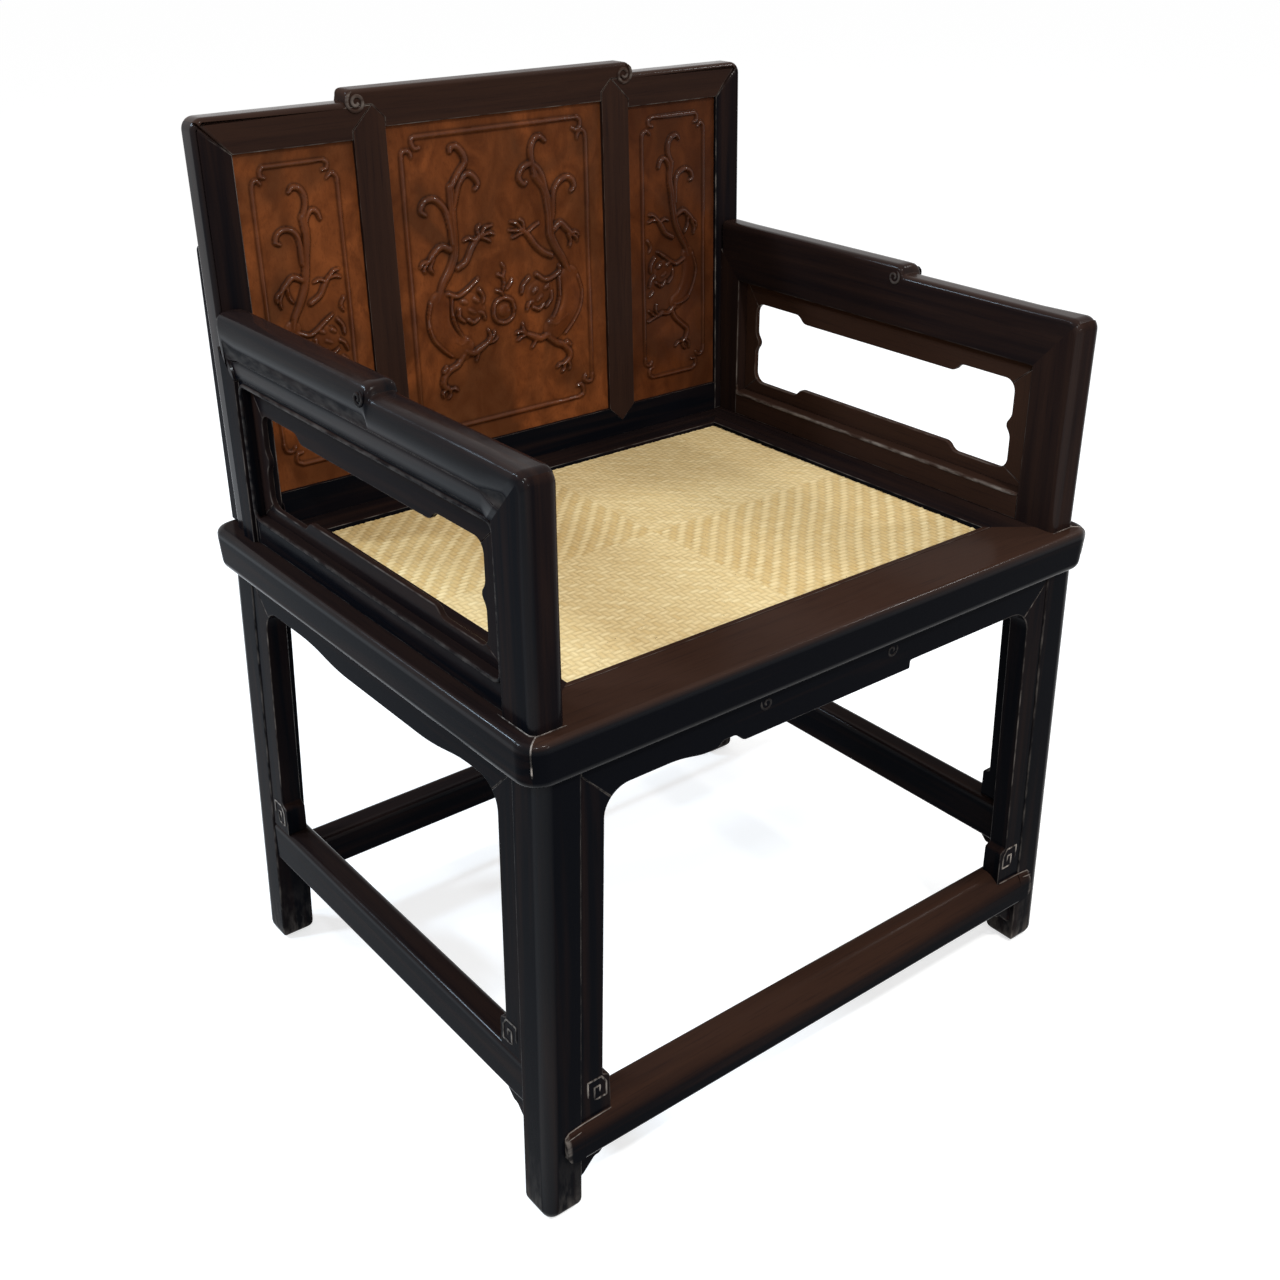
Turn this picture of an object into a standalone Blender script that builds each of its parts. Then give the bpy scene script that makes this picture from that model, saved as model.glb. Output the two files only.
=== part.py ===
"""Throne chair of dark hardwood with carved burl back panels and a woven seat mat.

Metres, +Z up. X runs across the chair and -Y is its front. The origin is on the floor
under the middle of the seat.
"""

import math

import bmesh
import bpy
from mathutils import Matrix, Vector

# Gap between pieces that touch, and how far a tenon starts inside its own piece
CLEARANCE = 0.0003
TENON_ROOT = 0.003

# Seat frame and what lies in it
SEAT_WIDTH = 0.680
SEAT_DEPTH = 0.561
SEAT_HEIGHT = 0.500
SEAT_RAIL_THICKNESS = 0.041
SEAT_CORNER_RADIUS = 0.021
SEAT_TOP_ROUNDING = 0.009
SEAT_FOOT_ROUNDING = 0.007
SEAT_EDGE_TAPER = 0.003
FRONT_RAIL_WIDTH = 0.0705
SIDE_RAIL_WIDTH = 0.087
BACK_RAIL_WIDTH = 0.086
MAT_DROP = 0.0038
MAT_THICKNESS = 0.0025
BOARD_THICKNESS = 0.013
BOARD_TONGUE = 0.009
SEAT_BRACE_WIDTH = 0.040
SEAT_BRACE_THICKNESS = 0.016
SEAT_BRACE_TENON = 0.012
SEAT_BRACE_TENON_WIDTH = 0.020
SEAT_BRACE_TENON_THICKNESS = 0.008
CORNER_TENON_START = 0.046
CORNER_TENON_WIDTH = 0.028
CORNER_TENON_THICKNESS = 0.013
CORNER_TENON_LIFT = 0.005

# Legs
LEG_TOP_SIZE = 0.040
LEG_FOOT_SIZE = 0.037
LEG_OUTER_RADIUS = 0.009
LEG_EDGE_RADIUS = 0.002
FOOT_ROUNDING = 0.0035
LEG_SIDE_INSET = 0.0145
LEG_FRONT_INSET = 0.008
LEG_BACK_INSET = 0.012
LEG_SIDE_SPLAY = 0.0115
LEG_FRONT_SPLAY = 0.003
LEG_BACK_SPLAY = 0.012
LEG_TENON_SIZE = 0.016
LEG_TENON_INSET = 0.011
LEG_TENON_LENGTH = 0.018

# Aprons, the upright strips beside them and the fret blocks at the foot of the strips
STRIP_WIDTH = 0.024
STRIP_THICKNESS = 0.022
STRIP_SETBACK = 0.0015
APRON_HEIGHT = 0.029
APRON_DROP = 0.0085
APRON_CORNER_RADIUS = 0.026
FRONT_DROP_LENGTH = 0.207
FRONT_DROP_SHIFT = -0.0115
SIDE_DROP_LENGTH = 0.164
SIDE_DROP_SHIFT = 0.0272
SIDE_SLOPE_LENGTH = 0.050
CUSP_LENGTH = 0.022
CUSP_DIP = 0.0055
BLOCK_HEIGHT = 0.031
BLOCK_REACH = 0.009
BLOCK_CORNER = 0.003

# Stretchers and the brackets under them
FRONT_STRETCHER_TOP = 0.106
FRONT_STRETCHER_HEIGHT = 0.045
FRONT_STRETCHER_DEPTH = 0.034
FRONT_STRETCHER_BROW = 0.024
FRONT_STRETCHER_LAP = 0.0055
FRONT_LAP_LENGTH = 0.019
SIDE_STRETCHER_TOP = 0.161
SIDE_STRETCHER_HEIGHT = 0.046
SIDE_STRETCHER_THICKNESS = 0.029
BACK_STRETCHER_TOP = 0.109
BACK_STRETCHER_HEIGHT = 0.040
BACK_STRETCHER_THICKNESS = 0.030
STRETCHER_SETBACK = 0.001
STRETCHER_ROUNDING = 0.007
STRETCHER_UNDER_ROUNDING = 0.003
STRETCHER_TENON_HEIGHT = 0.016
STRETCHER_TENON_WIDTH = 0.010
STRETCHER_TENON_LENGTH = 0.014
BRACKET_LENGTH = 0.033
BRACKET_HEIGHT = 0.032
BRACKET_THICKNESS = 0.014
BRACKET_SETBACK = 0.005
BRACKET_STEP = 0.005

# Arm frames
ARM_SIDE_INSET = 0.0147
ARM_FRONT_INSET = 0.015
ARM_THICKNESS = 0.0316
ARM_HEIGHT = 0.211
ARM_STEP = 0.010
ARM_STEP_AT = 0.222
ARM_STEP_LENGTH = 0.010
ARM_CORNER_RADIUS = 0.012
ARM_ROUNDING = 0.008
ARM_RAIL_HEIGHT = 0.053
ARM_POST_WIDTH = 0.048
ARM_REAR_POST_WIDTH = 0.028
ARM_FOOT_RAIL_HEIGHT = 0.0275
ARM_FOOT_RAIL_SETBACK = 0.0045
ARM_TENON_LENGTH = 0.011
ARM_TENON_WIDTH = 0.014
ARM_TENON_THICKNESS = 0.007
LINING_THICKNESS = 0.006
LINING_SETBACK = 0.0125
LINING_TOP = 0.0235
LINING_FOOT = 0.0135
LINING_FRONT = 0.0275
LINING_REAR = 0.017
LINING_CORNER_RADIUS = 0.012
LINING_RUN_CUSP = 0.0085
LINING_RUN_START = 0.067
LINING_END_CUSP = 0.0055
LINING_END_START = 0.034
LINING_CUSP_LENGTH = 0.010
LINING_CUSP_BULGE = 0.7

# Back
BACK_FROM_REAR = 0.0498
BACK_SIDE_INSET = 0.0195
BACK_THICKNESS = 0.026
BACK_RAKE = 0.0208
BACK_SIDE_HEIGHT = 0.390
BACK_CENTRE_RISE = 0.011
SIDE_TOP_RAIL_HEIGHT = 0.034
CENTRE_TOP_RAIL_HEIGHT = 0.036
BOTTOM_RAIL_HEIGHT = 0.033
OUTER_STILE_WIDTH = 0.035
INNER_STILE_WIDTH = 0.0343
CENTRE_PANEL_WIDTH = 0.257
SPEAR_INNER_SHARE = 0.0125
SPEAR_TIP_DROP = 0.015
SPEAR_FOOT = 0.0165
SCROLL_REACH = 0.026
SCROLL_RADIUS = 0.005
BACK_CORNER_RADIUS = 0.012
BACK_ROUNDING = 0.005
PANEL_THICKNESS = 0.010
PANEL_SETBACK = 0.004
PANEL_TONGUE = 0.005
BACK_TENON_LENGTH = 0.012
BACK_TENON_WIDTH = 0.010
BACK_TENON_COVER = 0.003
RAIL_TENON_SHARE = 0.5
REAR_BRACE_HEIGHT = 0.275
REAR_BRACE_WIDTH = 0.018
REAR_BRACE_TOP_DEPTH = 0.014
REAR_BRACE_FOOT_DEPTH = 0.022
REAR_BRACE_INSET = 0.0045

# Places that follow from the sizes above
SEAT_HALF = SEAT_WIDTH / 2
SEAT_FRONT = -SEAT_DEPTH / 2
SEAT_BACK = SEAT_DEPTH / 2
SEAT_FOOT = SEAT_HEIGHT - SEAT_RAIL_THICKNESS
OPENING_HALF = SEAT_HALF - SIDE_RAIL_WIDTH
OPENING_FRONT = SEAT_FRONT + FRONT_RAIL_WIDTH
OPENING_BACK = SEAT_BACK - BACK_RAIL_WIDTH
MAT_TOP = SEAT_HEIGHT - MAT_DROP
MAT_FOOT = MAT_TOP - MAT_THICKNESS
BOARD_TOP = MAT_FOOT - CLEARANCE
BOARD_FOOT = BOARD_TOP - BOARD_THICKNESS
LEG_TOP = SEAT_FOOT - CLEARANCE
APRON_FOOT = LEG_TOP - APRON_HEIGHT
ARM_OUT = SEAT_HALF - ARM_SIDE_INSET
ARM_IN = ARM_OUT - ARM_THICKNESS
ARM_MIDDLE = (ARM_OUT + ARM_IN) / 2
ARM_FRONT = SEAT_FRONT + ARM_FRONT_INSET
ARM_POST_BACK = ARM_FRONT + ARM_POST_WIDTH
ARM_BASE = SEAT_HEIGHT + CLEARANCE
ARM_TOP = SEAT_HEIGHT + ARM_HEIGHT
ARM_RAIL_FOOT = ARM_TOP - ARM_RAIL_HEIGHT
ARM_FOOT_RAIL_TOP = ARM_BASE + ARM_FOOT_RAIL_HEIGHT
BACK_FACE = SEAT_BACK - BACK_FROM_REAR
BACK_REAR = BACK_FACE + BACK_THICKNESS
BACK_MIDDLE = (BACK_FACE + BACK_REAR) / 2
BACK_BASE = SEAT_HEIGHT + CLEARANCE
BACK_SIDE_TOP = SEAT_HEIGHT + BACK_SIDE_HEIGHT
BACK_CENTRE_TOP = BACK_SIDE_TOP + BACK_CENTRE_RISE
STILE_OUT = SEAT_HALF - BACK_SIDE_INSET
STILE_IN = STILE_OUT - OUTER_STILE_WIDTH
INNER_STILE_IN = CENTRE_PANEL_WIDTH / 2
INNER_STILE_OUT = INNER_STILE_IN + INNER_STILE_WIDTH
INNER_STILE_MIDDLE = (INNER_STILE_IN + INNER_STILE_OUT) / 2
BOTTOM_RAIL_TOP = BACK_BASE + BOTTOM_RAIL_HEIGHT
SIDE_RAIL_FOOT = BACK_SIDE_TOP - SIDE_TOP_RAIL_HEIGHT
CENTRE_RAIL_FOOT = BACK_CENTRE_TOP - CENTRE_TOP_RAIL_HEIGHT
SPEAR_TIP = BACK_CENTRE_TOP - SPEAR_TIP_DROP
SPEAR_AT = INNER_STILE_IN + SPEAR_INNER_SHARE
SPEAR_INNER_SHOULDER = SPEAR_TIP - (SPEAR_AT - INNER_STILE_IN)
SPEAR_OUTER_SHOULDER = SPEAR_TIP - (INNER_STILE_OUT - SPEAR_AT)
SCROLL_END = SPEAR_AT + SCROLL_REACH
PANEL_FACE = BACK_FACE + PANEL_SETBACK
PANEL_REAR = PANEL_FACE + PANEL_THICKNESS
PANEL_REACH = PANEL_TONGUE - CLEARANCE
REAR_POST_FRONT = BACK_FACE - CLEARANCE - ARM_REAR_POST_WIDTH
ARM_BEYOND = BACK_FACE + ARM_REAR_POST_WIDTH

PARTS = "throne_chair"
CENTRE_MARK = "chair_origin"
SMOOTH_ANGLE = 35
SHARP_ANGLE = 28
FLAT_ANGLE = 0.5
NEAR = 1e-5
WELD = 1e-6
ROUND_PROFILE = 0.5
LEFT = -1
RIGHT = 1
FRONT = -1
BACK = 1
SIDE_NAMES = {LEFT: "left", RIGHT: "right"}
END_NAMES = {FRONT: "front", BACK: "back"}

tenons = {}
sockets = {}


def clear_scene():
    for old in list(bpy.data.objects):
        bpy.data.objects.remove(old, do_unlink=True)


def collection_named(name):
    made = bpy.data.collections.new(name)
    bpy.context.scene.collection.children.link(made)
    return made


def material_named(name, colour, roughness):
    made = bpy.data.materials.new(name)
    made.use_nodes = True
    shader = made.node_tree.nodes["Principled BSDF"]
    shader.inputs["Base Color"].default_value = (*colour, 1.0)
    shader.inputs["Roughness"].default_value = roughness
    shader.inputs["Metallic"].default_value = 0.0
    made.diffuse_color = (*colour, 1.0)
    return made


def face_out(mesh):
    """Makes all faces of a closed mesh point outwards."""
    bmesh.ops.recalc_face_normals(mesh, faces=mesh.faces)
    if mesh.calc_volume(signed=True) < 0:
        bmesh.ops.reverse_faces(mesh, faces=mesh.faces)


def box(low, high):
    """A block between two opposite corners."""
    mesh = bmesh.new()
    bmesh.ops.create_cube(mesh, size=1.0)
    low = Vector(low)
    high = Vector(high)
    size = high - low
    for vertex in mesh.verts:
        vertex.co = low + Vector(size[i] * (vertex.co[i] + 0.5) for i in range(3))
    return mesh


def sheet(points, low, high, facing):
    """A flat outline made thick, from low to high across it.

    A front outline holds (x, z) points and is thick along Y, a side outline holds (y, z)
    points and is thick along X, and a top outline holds (x, y) points and is thick along Z.
    """
    curve = bpy.data.curves.new("outline", "CURVE")
    curve.dimensions = "2D"
    curve.fill_mode = "BOTH"
    curve.extrude = (high - low) / 2
    spline = curve.splines.new("POLY")
    spline.points.add(len(points) - 1)
    for place, (u, v) in zip(spline.points, points):
        place.co = (u, v, 0.0, 1.0)
    spline.use_cyclic_u = True
    guide = bpy.data.objects.new("outline", curve)
    bpy.context.scene.collection.objects.link(guide)
    bpy.context.view_layer.update()
    graph = bpy.context.evaluated_depsgraph_get()
    flat = bpy.data.meshes.new_from_object(guide.evaluated_get(graph))
    mesh = bmesh.new()
    mesh.from_mesh(flat)
    bpy.data.objects.remove(guide, do_unlink=True)
    bpy.data.meshes.remove(flat)
    bpy.data.curves.remove(curve)
    middle = (low + high) / 2
    turns = {
        "front": Matrix(((1, 0, 0, 0), (0, 0, -1, middle), (0, 1, 0, 0), (0, 0, 0, 1))),
        "side": Matrix(((0, 0, 1, middle), (1, 0, 0, 0), (0, 1, 0, 0), (0, 0, 0, 1))),
        "top": Matrix.Translation((0, 0, middle)),
    }
    mesh.transform(turns[facing])
    bmesh.ops.remove_doubles(mesh, verts=mesh.verts, dist=WELD)
    face_out(mesh)
    angle = math.radians(FLAT_ANGLE)
    bmesh.ops.dissolve_limit(mesh, angle_limit=angle, verts=mesh.verts, edges=mesh.edges)
    return mesh


def round_edges(mesh, radius, segments, chosen):
    """Rounds the sharp edges whose two ends pass the chosen rule."""
    edges = []
    for edge in mesh.edges:
        if len(edge.link_faces) == 2 and edge.calc_face_angle() > math.radians(SHARP_ANGLE):
            if chosen(edge.verts[0].co, edge.verts[1].co):
                edges.append(edge)
    bmesh.ops.bevel(
        mesh, geom=edges, offset=radius, segments=segments, profile=ROUND_PROFILE, affect="EDGES"
    )


def trim(mesh, point, normal):
    """Cuts the mesh with a plane, keeps the side behind the normal and closes the cut."""
    everything = list(mesh.verts) + list(mesh.edges) + list(mesh.faces)
    bmesh.ops.bisect_plane(
        mesh, geom=everything, dist=WELD / 10, plane_co=point, plane_no=normal, clear_outer=True
    )
    rim = [edge for edge in mesh.edges if edge.is_boundary]
    bmesh.ops.holes_fill(mesh, edges=rim, sides=0)
    face_out(mesh)


def trim_mitre(mesh, start, end, facing, keep):
    """Cuts along the upright or level plane through two points of an outline.

    keep is a point of the outline on the side that stays. Half a clearance goes on each side.
    """
    along = Vector((end[0] - start[0], end[1] - start[1])).normalized()
    across = Vector((-along.y, along.x))
    if across.dot(Vector((keep[0] - start[0], keep[1] - start[1]))) > 0:
        across = -across
    place = Vector(start) - across * (CLEARANCE / 2)
    if facing == "front":
        trim(mesh, Vector((place.x, 0, place.y)), Vector((across.x, 0, across.y)))
    elif facing == "side":
        trim(mesh, Vector((0, place.x, place.y)), Vector((0, across.x, across.y)))
    else:
        trim(mesh, Vector((place.x, place.y, 0)), Vector((across.x, across.y, 0)))


def rake(mesh):
    """Leans a piece of the back to the rear, about the level of the seat."""
    for vertex in mesh.verts:
        vertex.co.y += BACK_RAKE * (vertex.co.z - SEAT_HEIGHT)
    return mesh


def mirrored(mesh, side):
    """The mesh as built on the right, or its mirror image on the left."""
    if side == LEFT:
        mesh.transform(Matrix.Scale(-1, 4, (1, 0, 0)))
        bmesh.ops.reverse_faces(mesh, faces=mesh.faces)
    return mesh


def part(name, mesh, material):
    """Makes the mesh a named object of the chair, with its own middle as its origin."""
    many_sided = [face for face in mesh.faces if len(face.verts) > 4]
    bmesh.ops.triangulate(mesh, faces=many_sided)
    corners = [vertex.co.copy() for vertex in mesh.verts]
    low = Vector(min(corner[i] for corner in corners) for i in range(3))
    high = Vector(max(corner[i] for corner in corners) for i in range(3))
    middle = (low + high) / 2
    mesh.transform(Matrix.Translation(-middle))
    data = bpy.data.meshes.new(name)
    mesh.to_mesh(data)
    mesh.free()
    data.materials.append(material)
    data.shade_smooth()
    data.set_sharp_from_angle(angle=math.radians(SMOOTH_ANGLE))
    made = bpy.data.objects.new(name, data)
    made.location = middle
    made.parent = bpy.data.objects[CENTRE_MARK]
    bpy.data.collections[PARTS].objects.link(made)


def tenon(owner, holders, low, high, shape=None):
    """A tenon of one piece, and the mortise that it needs in the pieces that hold it."""
    if owner:
        peg = box(low, high)
        tenons.setdefault(owner, []).append(shape(peg) if shape else peg)
    grow = Vector((CLEARANCE, CLEARANCE, CLEARANCE))
    for holder in holders:
        hole = box(Vector(low) - grow, Vector(high) + grow)
        sockets.setdefault(holder, []).append(shape(hole) if shape else hole)


def arc(centre, radius, start, end, steps):
    """Points on a circle from one angle to another, in degrees."""
    angles = [math.radians(start + (end - start) * i / steps) for i in range(steps + 1)]
    return [(centre[0] + radius * math.cos(a), centre[1] + radius * math.sin(a)) for a in angles]


def leg_share(z):
    """How far down the leg a height lies: 0 at its top and 1 on the floor."""
    return (LEG_TOP - z) / LEG_TOP


def leg_size(z):
    return LEG_TOP_SIZE + (LEG_FOOT_SIZE - LEG_TOP_SIZE) * leg_share(z)


def leg_out_x(z):
    return SEAT_HALF - LEG_SIDE_INSET + LEG_SIDE_SPLAY * leg_share(z)


def leg_out_y(end, z):
    """The outer face of a front or back leg at a height."""
    if end == FRONT:
        return SEAT_FRONT + LEG_FRONT_INSET - LEG_FRONT_SPLAY * leg_share(z)
    return SEAT_BACK - LEG_BACK_INSET + LEG_BACK_SPLAY * leg_share(z)


def leg_in_x(z):
    return leg_out_x(z) - leg_size(z)


def leg_in_y(end, z):
    return leg_out_y(end, z) - end * leg_size(z)


def leg_mesh(side, end, grow):
    """A leg with its outer edge well rounded, tapered and splayed, and grown for use as a cutter."""
    size = LEG_TOP_SIZE
    mesh = box((0, 0, -grow), (size, size, LEG_TOP + grow))

    def upright(a, b):
        return abs(a.z - b.z) > size

    def outer(a, b):
        return upright(a, b) and a.x < size / 2 and a.y < size / 2

    def inner(a, b):
        return upright(a, b) and (a.x > size / 2 or a.y > size / 2)

    def toe(a, b):
        return max(a.z, b.z) < size / 2

    round_edges(mesh, LEG_EDGE_RADIUS, 1, inner)
    round_edges(mesh, LEG_OUTER_RADIUS, 4, outer)
    round_edges(mesh, FOOT_ROUNDING, 2, toe)
    for vertex in mesh.verts:
        z = vertex.co.z
        scale = (leg_size(z) + 2 * grow) / size
        across = leg_out_x(z) + grow - vertex.co.x * scale
        deep = leg_out_y(end, z) + end * (grow - vertex.co.y * scale)
        vertex.co = Vector((side * across, deep, z))
    face_out(mesh)
    return mesh


def make_legs(wood):
    for side in (LEFT, RIGHT):
        for end in (FRONT, BACK):
            name = f"leg_{END_NAMES[end]}_{SIDE_NAMES[side]}"
            part(name, leg_mesh(side, end, 0.0), wood)
            out = leg_out_x(LEG_TOP) - LEG_TENON_INSET
            near = leg_out_y(end, LEG_TOP) - end * LEG_TENON_INSET
            xs = sorted((side * out, side * (out - LEG_TENON_SIZE)))
            ys = sorted((near, near - end * LEG_TENON_SIZE))
            rails = [f"seat_rail_{END_NAMES[end]}", f"seat_rail_{SIDE_NAMES[side]}"]
            low = (xs[0], ys[0], LEG_TOP - TENON_ROOT)
            high = (xs[1], ys[1], LEG_TOP + LEG_TENON_LENGTH)
            tenon(name, rails, low, high)


def seat_slab():
    """The whole seat frame as one slab with rounded corners and a rounded, tapering edge."""
    radius = SEAT_CORNER_RADIUS
    x = SEAT_HALF - radius
    y = SEAT_BACK - radius
    corners = ((x, y, 0), (-x, y, 90), (-x, -y, 180), (x, -y, 270))
    points = []
    for u, v, turn in corners:
        points += arc((u, v), radius, turn, turn + 90, 6)
    mesh = sheet(points, SEAT_FOOT, SEAT_HEIGHT, "top")

    def top(a, b):
        return min(a.z, b.z) > SEAT_HEIGHT - NEAR

    def foot(a, b):
        return max(a.z, b.z) < SEAT_FOOT + NEAR

    round_edges(mesh, SEAT_TOP_ROUNDING, 3, top)
    round_edges(mesh, SEAT_FOOT_ROUNDING, 2, foot)
    for vertex in mesh.verts:
        down = (SEAT_HEIGHT - vertex.co.z) / SEAT_RAIL_THICKNESS
        vertex.co.x *= 1 - SEAT_EDGE_TAPER * down / SEAT_HALF
        vertex.co.y *= 1 - SEAT_EDGE_TAPER * down / SEAT_BACK
    return mesh


def seat_corner(side, end):
    """The outer and inner ends of the mitre at one corner of the seat frame."""
    outer = (side * SEAT_HALF, SEAT_FRONT if end == FRONT else SEAT_BACK)
    inner = (side * OPENING_HALF, OPENING_FRONT if end == FRONT else OPENING_BACK)
    return outer, inner


def make_seat_rails(wood):
    for end in (FRONT, BACK):
        mesh = seat_slab()
        edge = OPENING_FRONT if end == FRONT else OPENING_BACK
        trim(mesh, Vector((0, edge, 0)), Vector((0, -end, 0)))
        for side in (LEFT, RIGHT):
            outer, inner = seat_corner(side, end)
            trim_mitre(mesh, outer, inner, "top", (0, outer[1]))
        part(f"seat_rail_{END_NAMES[end]}", mesh, wood)
    for side in (LEFT, RIGHT):
        mesh = seat_slab()
        trim(mesh, Vector((side * OPENING_HALF, 0, 0)), Vector((-side, 0, 0)))
        for end in (FRONT, BACK):
            outer, inner = seat_corner(side, end)
            trim_mitre(mesh, outer, inner, "top", (outer[0], 0))
        part(f"seat_rail_{SIDE_NAMES[side]}", mesh, wood)


def make_corner_tenons():
    """Tenons of the front and back seat rails, which show at the outside of the side rails."""
    foot = SEAT_FOOT + CORNER_TENON_LIFT
    for end in (FRONT, BACK):
        near = end * (SEAT_BACK - CORNER_TENON_START)
        ys = sorted((near, near - end * CORNER_TENON_WIDTH))
        for side in (LEFT, RIGHT):
            root = OPENING_HALF - CORNER_TENON_WIDTH
            xs = sorted((side * root, side * (SEAT_HALF - SEAT_EDGE_TAPER)))
            low = (xs[0], ys[0], foot)
            high = (xs[1], ys[1], foot + CORNER_TENON_THICKNESS)
            tenon(f"seat_rail_{END_NAMES[end]}", [f"seat_rail_{SIDE_NAMES[side]}"], low, high)


def make_seat_filling(board_wood, straw):
    """The mat, the board that carries it in grooves of the seat rails, and the brace below."""
    rails = ["seat_rail_front", "seat_rail_back", "seat_rail_left", "seat_rail_right"]
    tongue = BOARD_TONGUE - CLEARANCE
    low = (-OPENING_HALF - tongue, OPENING_FRONT - tongue, BOARD_FOOT)
    high = (OPENING_HALF + tongue, OPENING_BACK + tongue, BOARD_TOP)
    part("seat_board", box(low, high), board_wood)
    tenon(None, rails, low, high)
    low = (-OPENING_HALF + CLEARANCE, OPENING_FRONT + CLEARANCE, MAT_FOOT)
    high = (OPENING_HALF - CLEARANCE, OPENING_BACK - CLEARANCE, MAT_TOP)
    part("seat_mat", box(low, high), straw)
    head = BOARD_FOOT - CLEARANCE
    half = SEAT_BRACE_WIDTH / 2
    low = (-half, OPENING_FRONT + CLEARANCE, head - SEAT_BRACE_THICKNESS)
    high = (half, OPENING_BACK - CLEARANCE, head)
    part("seat_brace", box(low, high), board_wood)
    middle = head - SEAT_BRACE_THICKNESS / 2
    half = SEAT_BRACE_TENON_WIDTH / 2
    rise = SEAT_BRACE_TENON_THICKNESS / 2
    for rail, face in (("seat_rail_front", OPENING_FRONT), ("seat_rail_back", OPENING_BACK)):
        low = (-half, face - SEAT_BRACE_TENON, middle - rise)
        high = (half, face + SEAT_BRACE_TENON, middle + rise)
        tenon("seat_brace", [rail], low, high)


def strip_points(edge, inward, base, sink=0):
    """Outline of an upright strip beside a leg, from its fret block up to its mitre.

    The block may reach below its base by sink, where a rounded bar is cut out of its foot.
    """
    radius = APRON_CORNER_RADIUS
    gap = CLEARANCE

    def outer(z):
        return edge(z) + inward * gap

    def inner(z):
        return edge(z) + inward * STRIP_WIDTH

    bend = APRON_FOOT - radius
    at = inner(bend)
    centre = (at + inward * radius, bend)
    turn = 180 if inward > 0 else 0
    curve = arc(centre, radius, turn, turn - inward * 45, 4)
    middle = curve[-1]
    rise = abs(middle[0] - outer(APRON_FOOT))
    corner = (outer(middle[1] + rise), middle[1] + rise - gap)
    curve[-1] = (middle[0], middle[1] - gap)
    foot = base + gap - sink
    reach = inner(foot) + inward * BLOCK_REACH
    top = base + BLOCK_HEIGHT
    block = [
        (inner(top + BLOCK_CORNER), top + BLOCK_CORNER),
        (reach - inward * BLOCK_CORNER, top),
        (reach, top - BLOCK_CORNER),
        (reach, foot + BLOCK_CORNER),
        (reach - inward * BLOCK_CORNER, foot),
    ]
    return [(outer(foot), foot), corner] + curve[::-1] + block


def plain_wave():
    """Right half of the front apron's lower edge: its dropped middle ends in a plain step."""
    half = FRONT_DROP_LENGTH / 2
    return [(half, APRON_FOOT - APRON_DROP), (half, APRON_FOOT)]


def sloped_wave():
    """Half of a side apron's lower edge: a long slope up from the end of its dropped middle."""
    half = SIDE_DROP_LENGTH / 2
    drop = APRON_FOOT - APRON_DROP
    return [
        (half, drop),
        (half + SIDE_SLOPE_LENGTH * 0.3, drop + APRON_DROP * 0.2),
        (half + SIDE_SLOPE_LENGTH * 0.7, APRON_FOOT - APRON_DROP * 0.2),
        (half + SIDE_SLOPE_LENGTH, APRON_FOOT),
    ]


def cusped_wave():
    """Left half of the front apron's lower edge, from its dropped middle out over its cusps."""
    half = FRONT_DROP_LENGTH / 2
    drop = APRON_FOOT - APRON_DROP
    return [
        (half, drop),
        (half, drop + APRON_DROP / 2),
        (half + CUSP_LENGTH / 4, APRON_FOOT),
        (half + CUSP_LENGTH, APRON_FOOT),
        (half + CUSP_LENGTH + CUSP_DIP, APRON_FOOT - CUSP_DIP),
        (half + CUSP_LENGTH * 2, APRON_FOOT - CUSP_DIP),
        (half + CUSP_LENGTH * 3, APRON_FOOT),
    ]


def apron_points(low_edge, high_edge, low_half, high_half, centre):
    """Outline of an apron between two legs: mitred lower corners and a waved lower edge."""
    radius = APRON_CORNER_RADIUS
    bend = APRON_FOOT - radius
    ends = []
    for edge, inward in ((low_edge, 1), (high_edge, -1)):
        at = edge(bend) + inward * STRIP_WIDTH
        turn = 180 if inward > 0 else 0
        middle = (at + inward * radius, bend)
        curve = arc(middle, radius, turn - inward * 45, turn - inward * 90, 4)
        start = curve[0]
        rise = abs(start[0] - edge(APRON_FOOT) - inward * CLEARANCE)
        corner = (edge(start[1] + rise) + inward * CLEARANCE, start[1] + rise)
        ends.append([(edge(LEG_TOP) + inward * CLEARANCE, LEG_TOP), corner] + curve)
    low_end, high_end = ends
    low_wave = [(centre - u, v) for u, v in low_half][::-1]
    high_wave = [(centre + u, v) for u, v in high_half]
    return low_end + low_wave + high_wave + high_end[::-1]


def plain_apron_points(low_edge, high_edge):
    """Outline of a straight apron between two legs."""
    low_end = [(low_edge(z) + CLEARANCE, z) for z in (LEG_TOP, APRON_FOOT)]
    high_end = [(high_edge(z) - CLEARANCE, z) for z in (APRON_FOOT, LEG_TOP)]
    return low_end + high_end


def left_edge(z):
    return -leg_in_x(z)


def front_edge(z):
    return leg_in_y(FRONT, z)


def back_edge(z):
    return leg_in_y(BACK, z)


def end_plate(outline, end):
    """A plate between the two front or back legs, leaning with their outer faces."""
    mesh = sheet(outline, 0, STRIP_THICKNESS, "front")
    for vertex in mesh.verts:
        vertex.co.y = leg_out_y(end, vertex.co.z) - end * (STRIP_SETBACK + vertex.co.y)
    face_out(mesh)
    return mesh


def side_plate(outline, side):
    """A plate between the two left or right legs, leaning with their outer faces."""
    mesh = sheet(outline, 0, STRIP_THICKNESS, "side")
    for vertex in mesh.verts:
        vertex.co.x = side * (leg_out_x(vertex.co.z) - STRIP_SETBACK - vertex.co.x)
    face_out(mesh)
    return mesh


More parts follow.
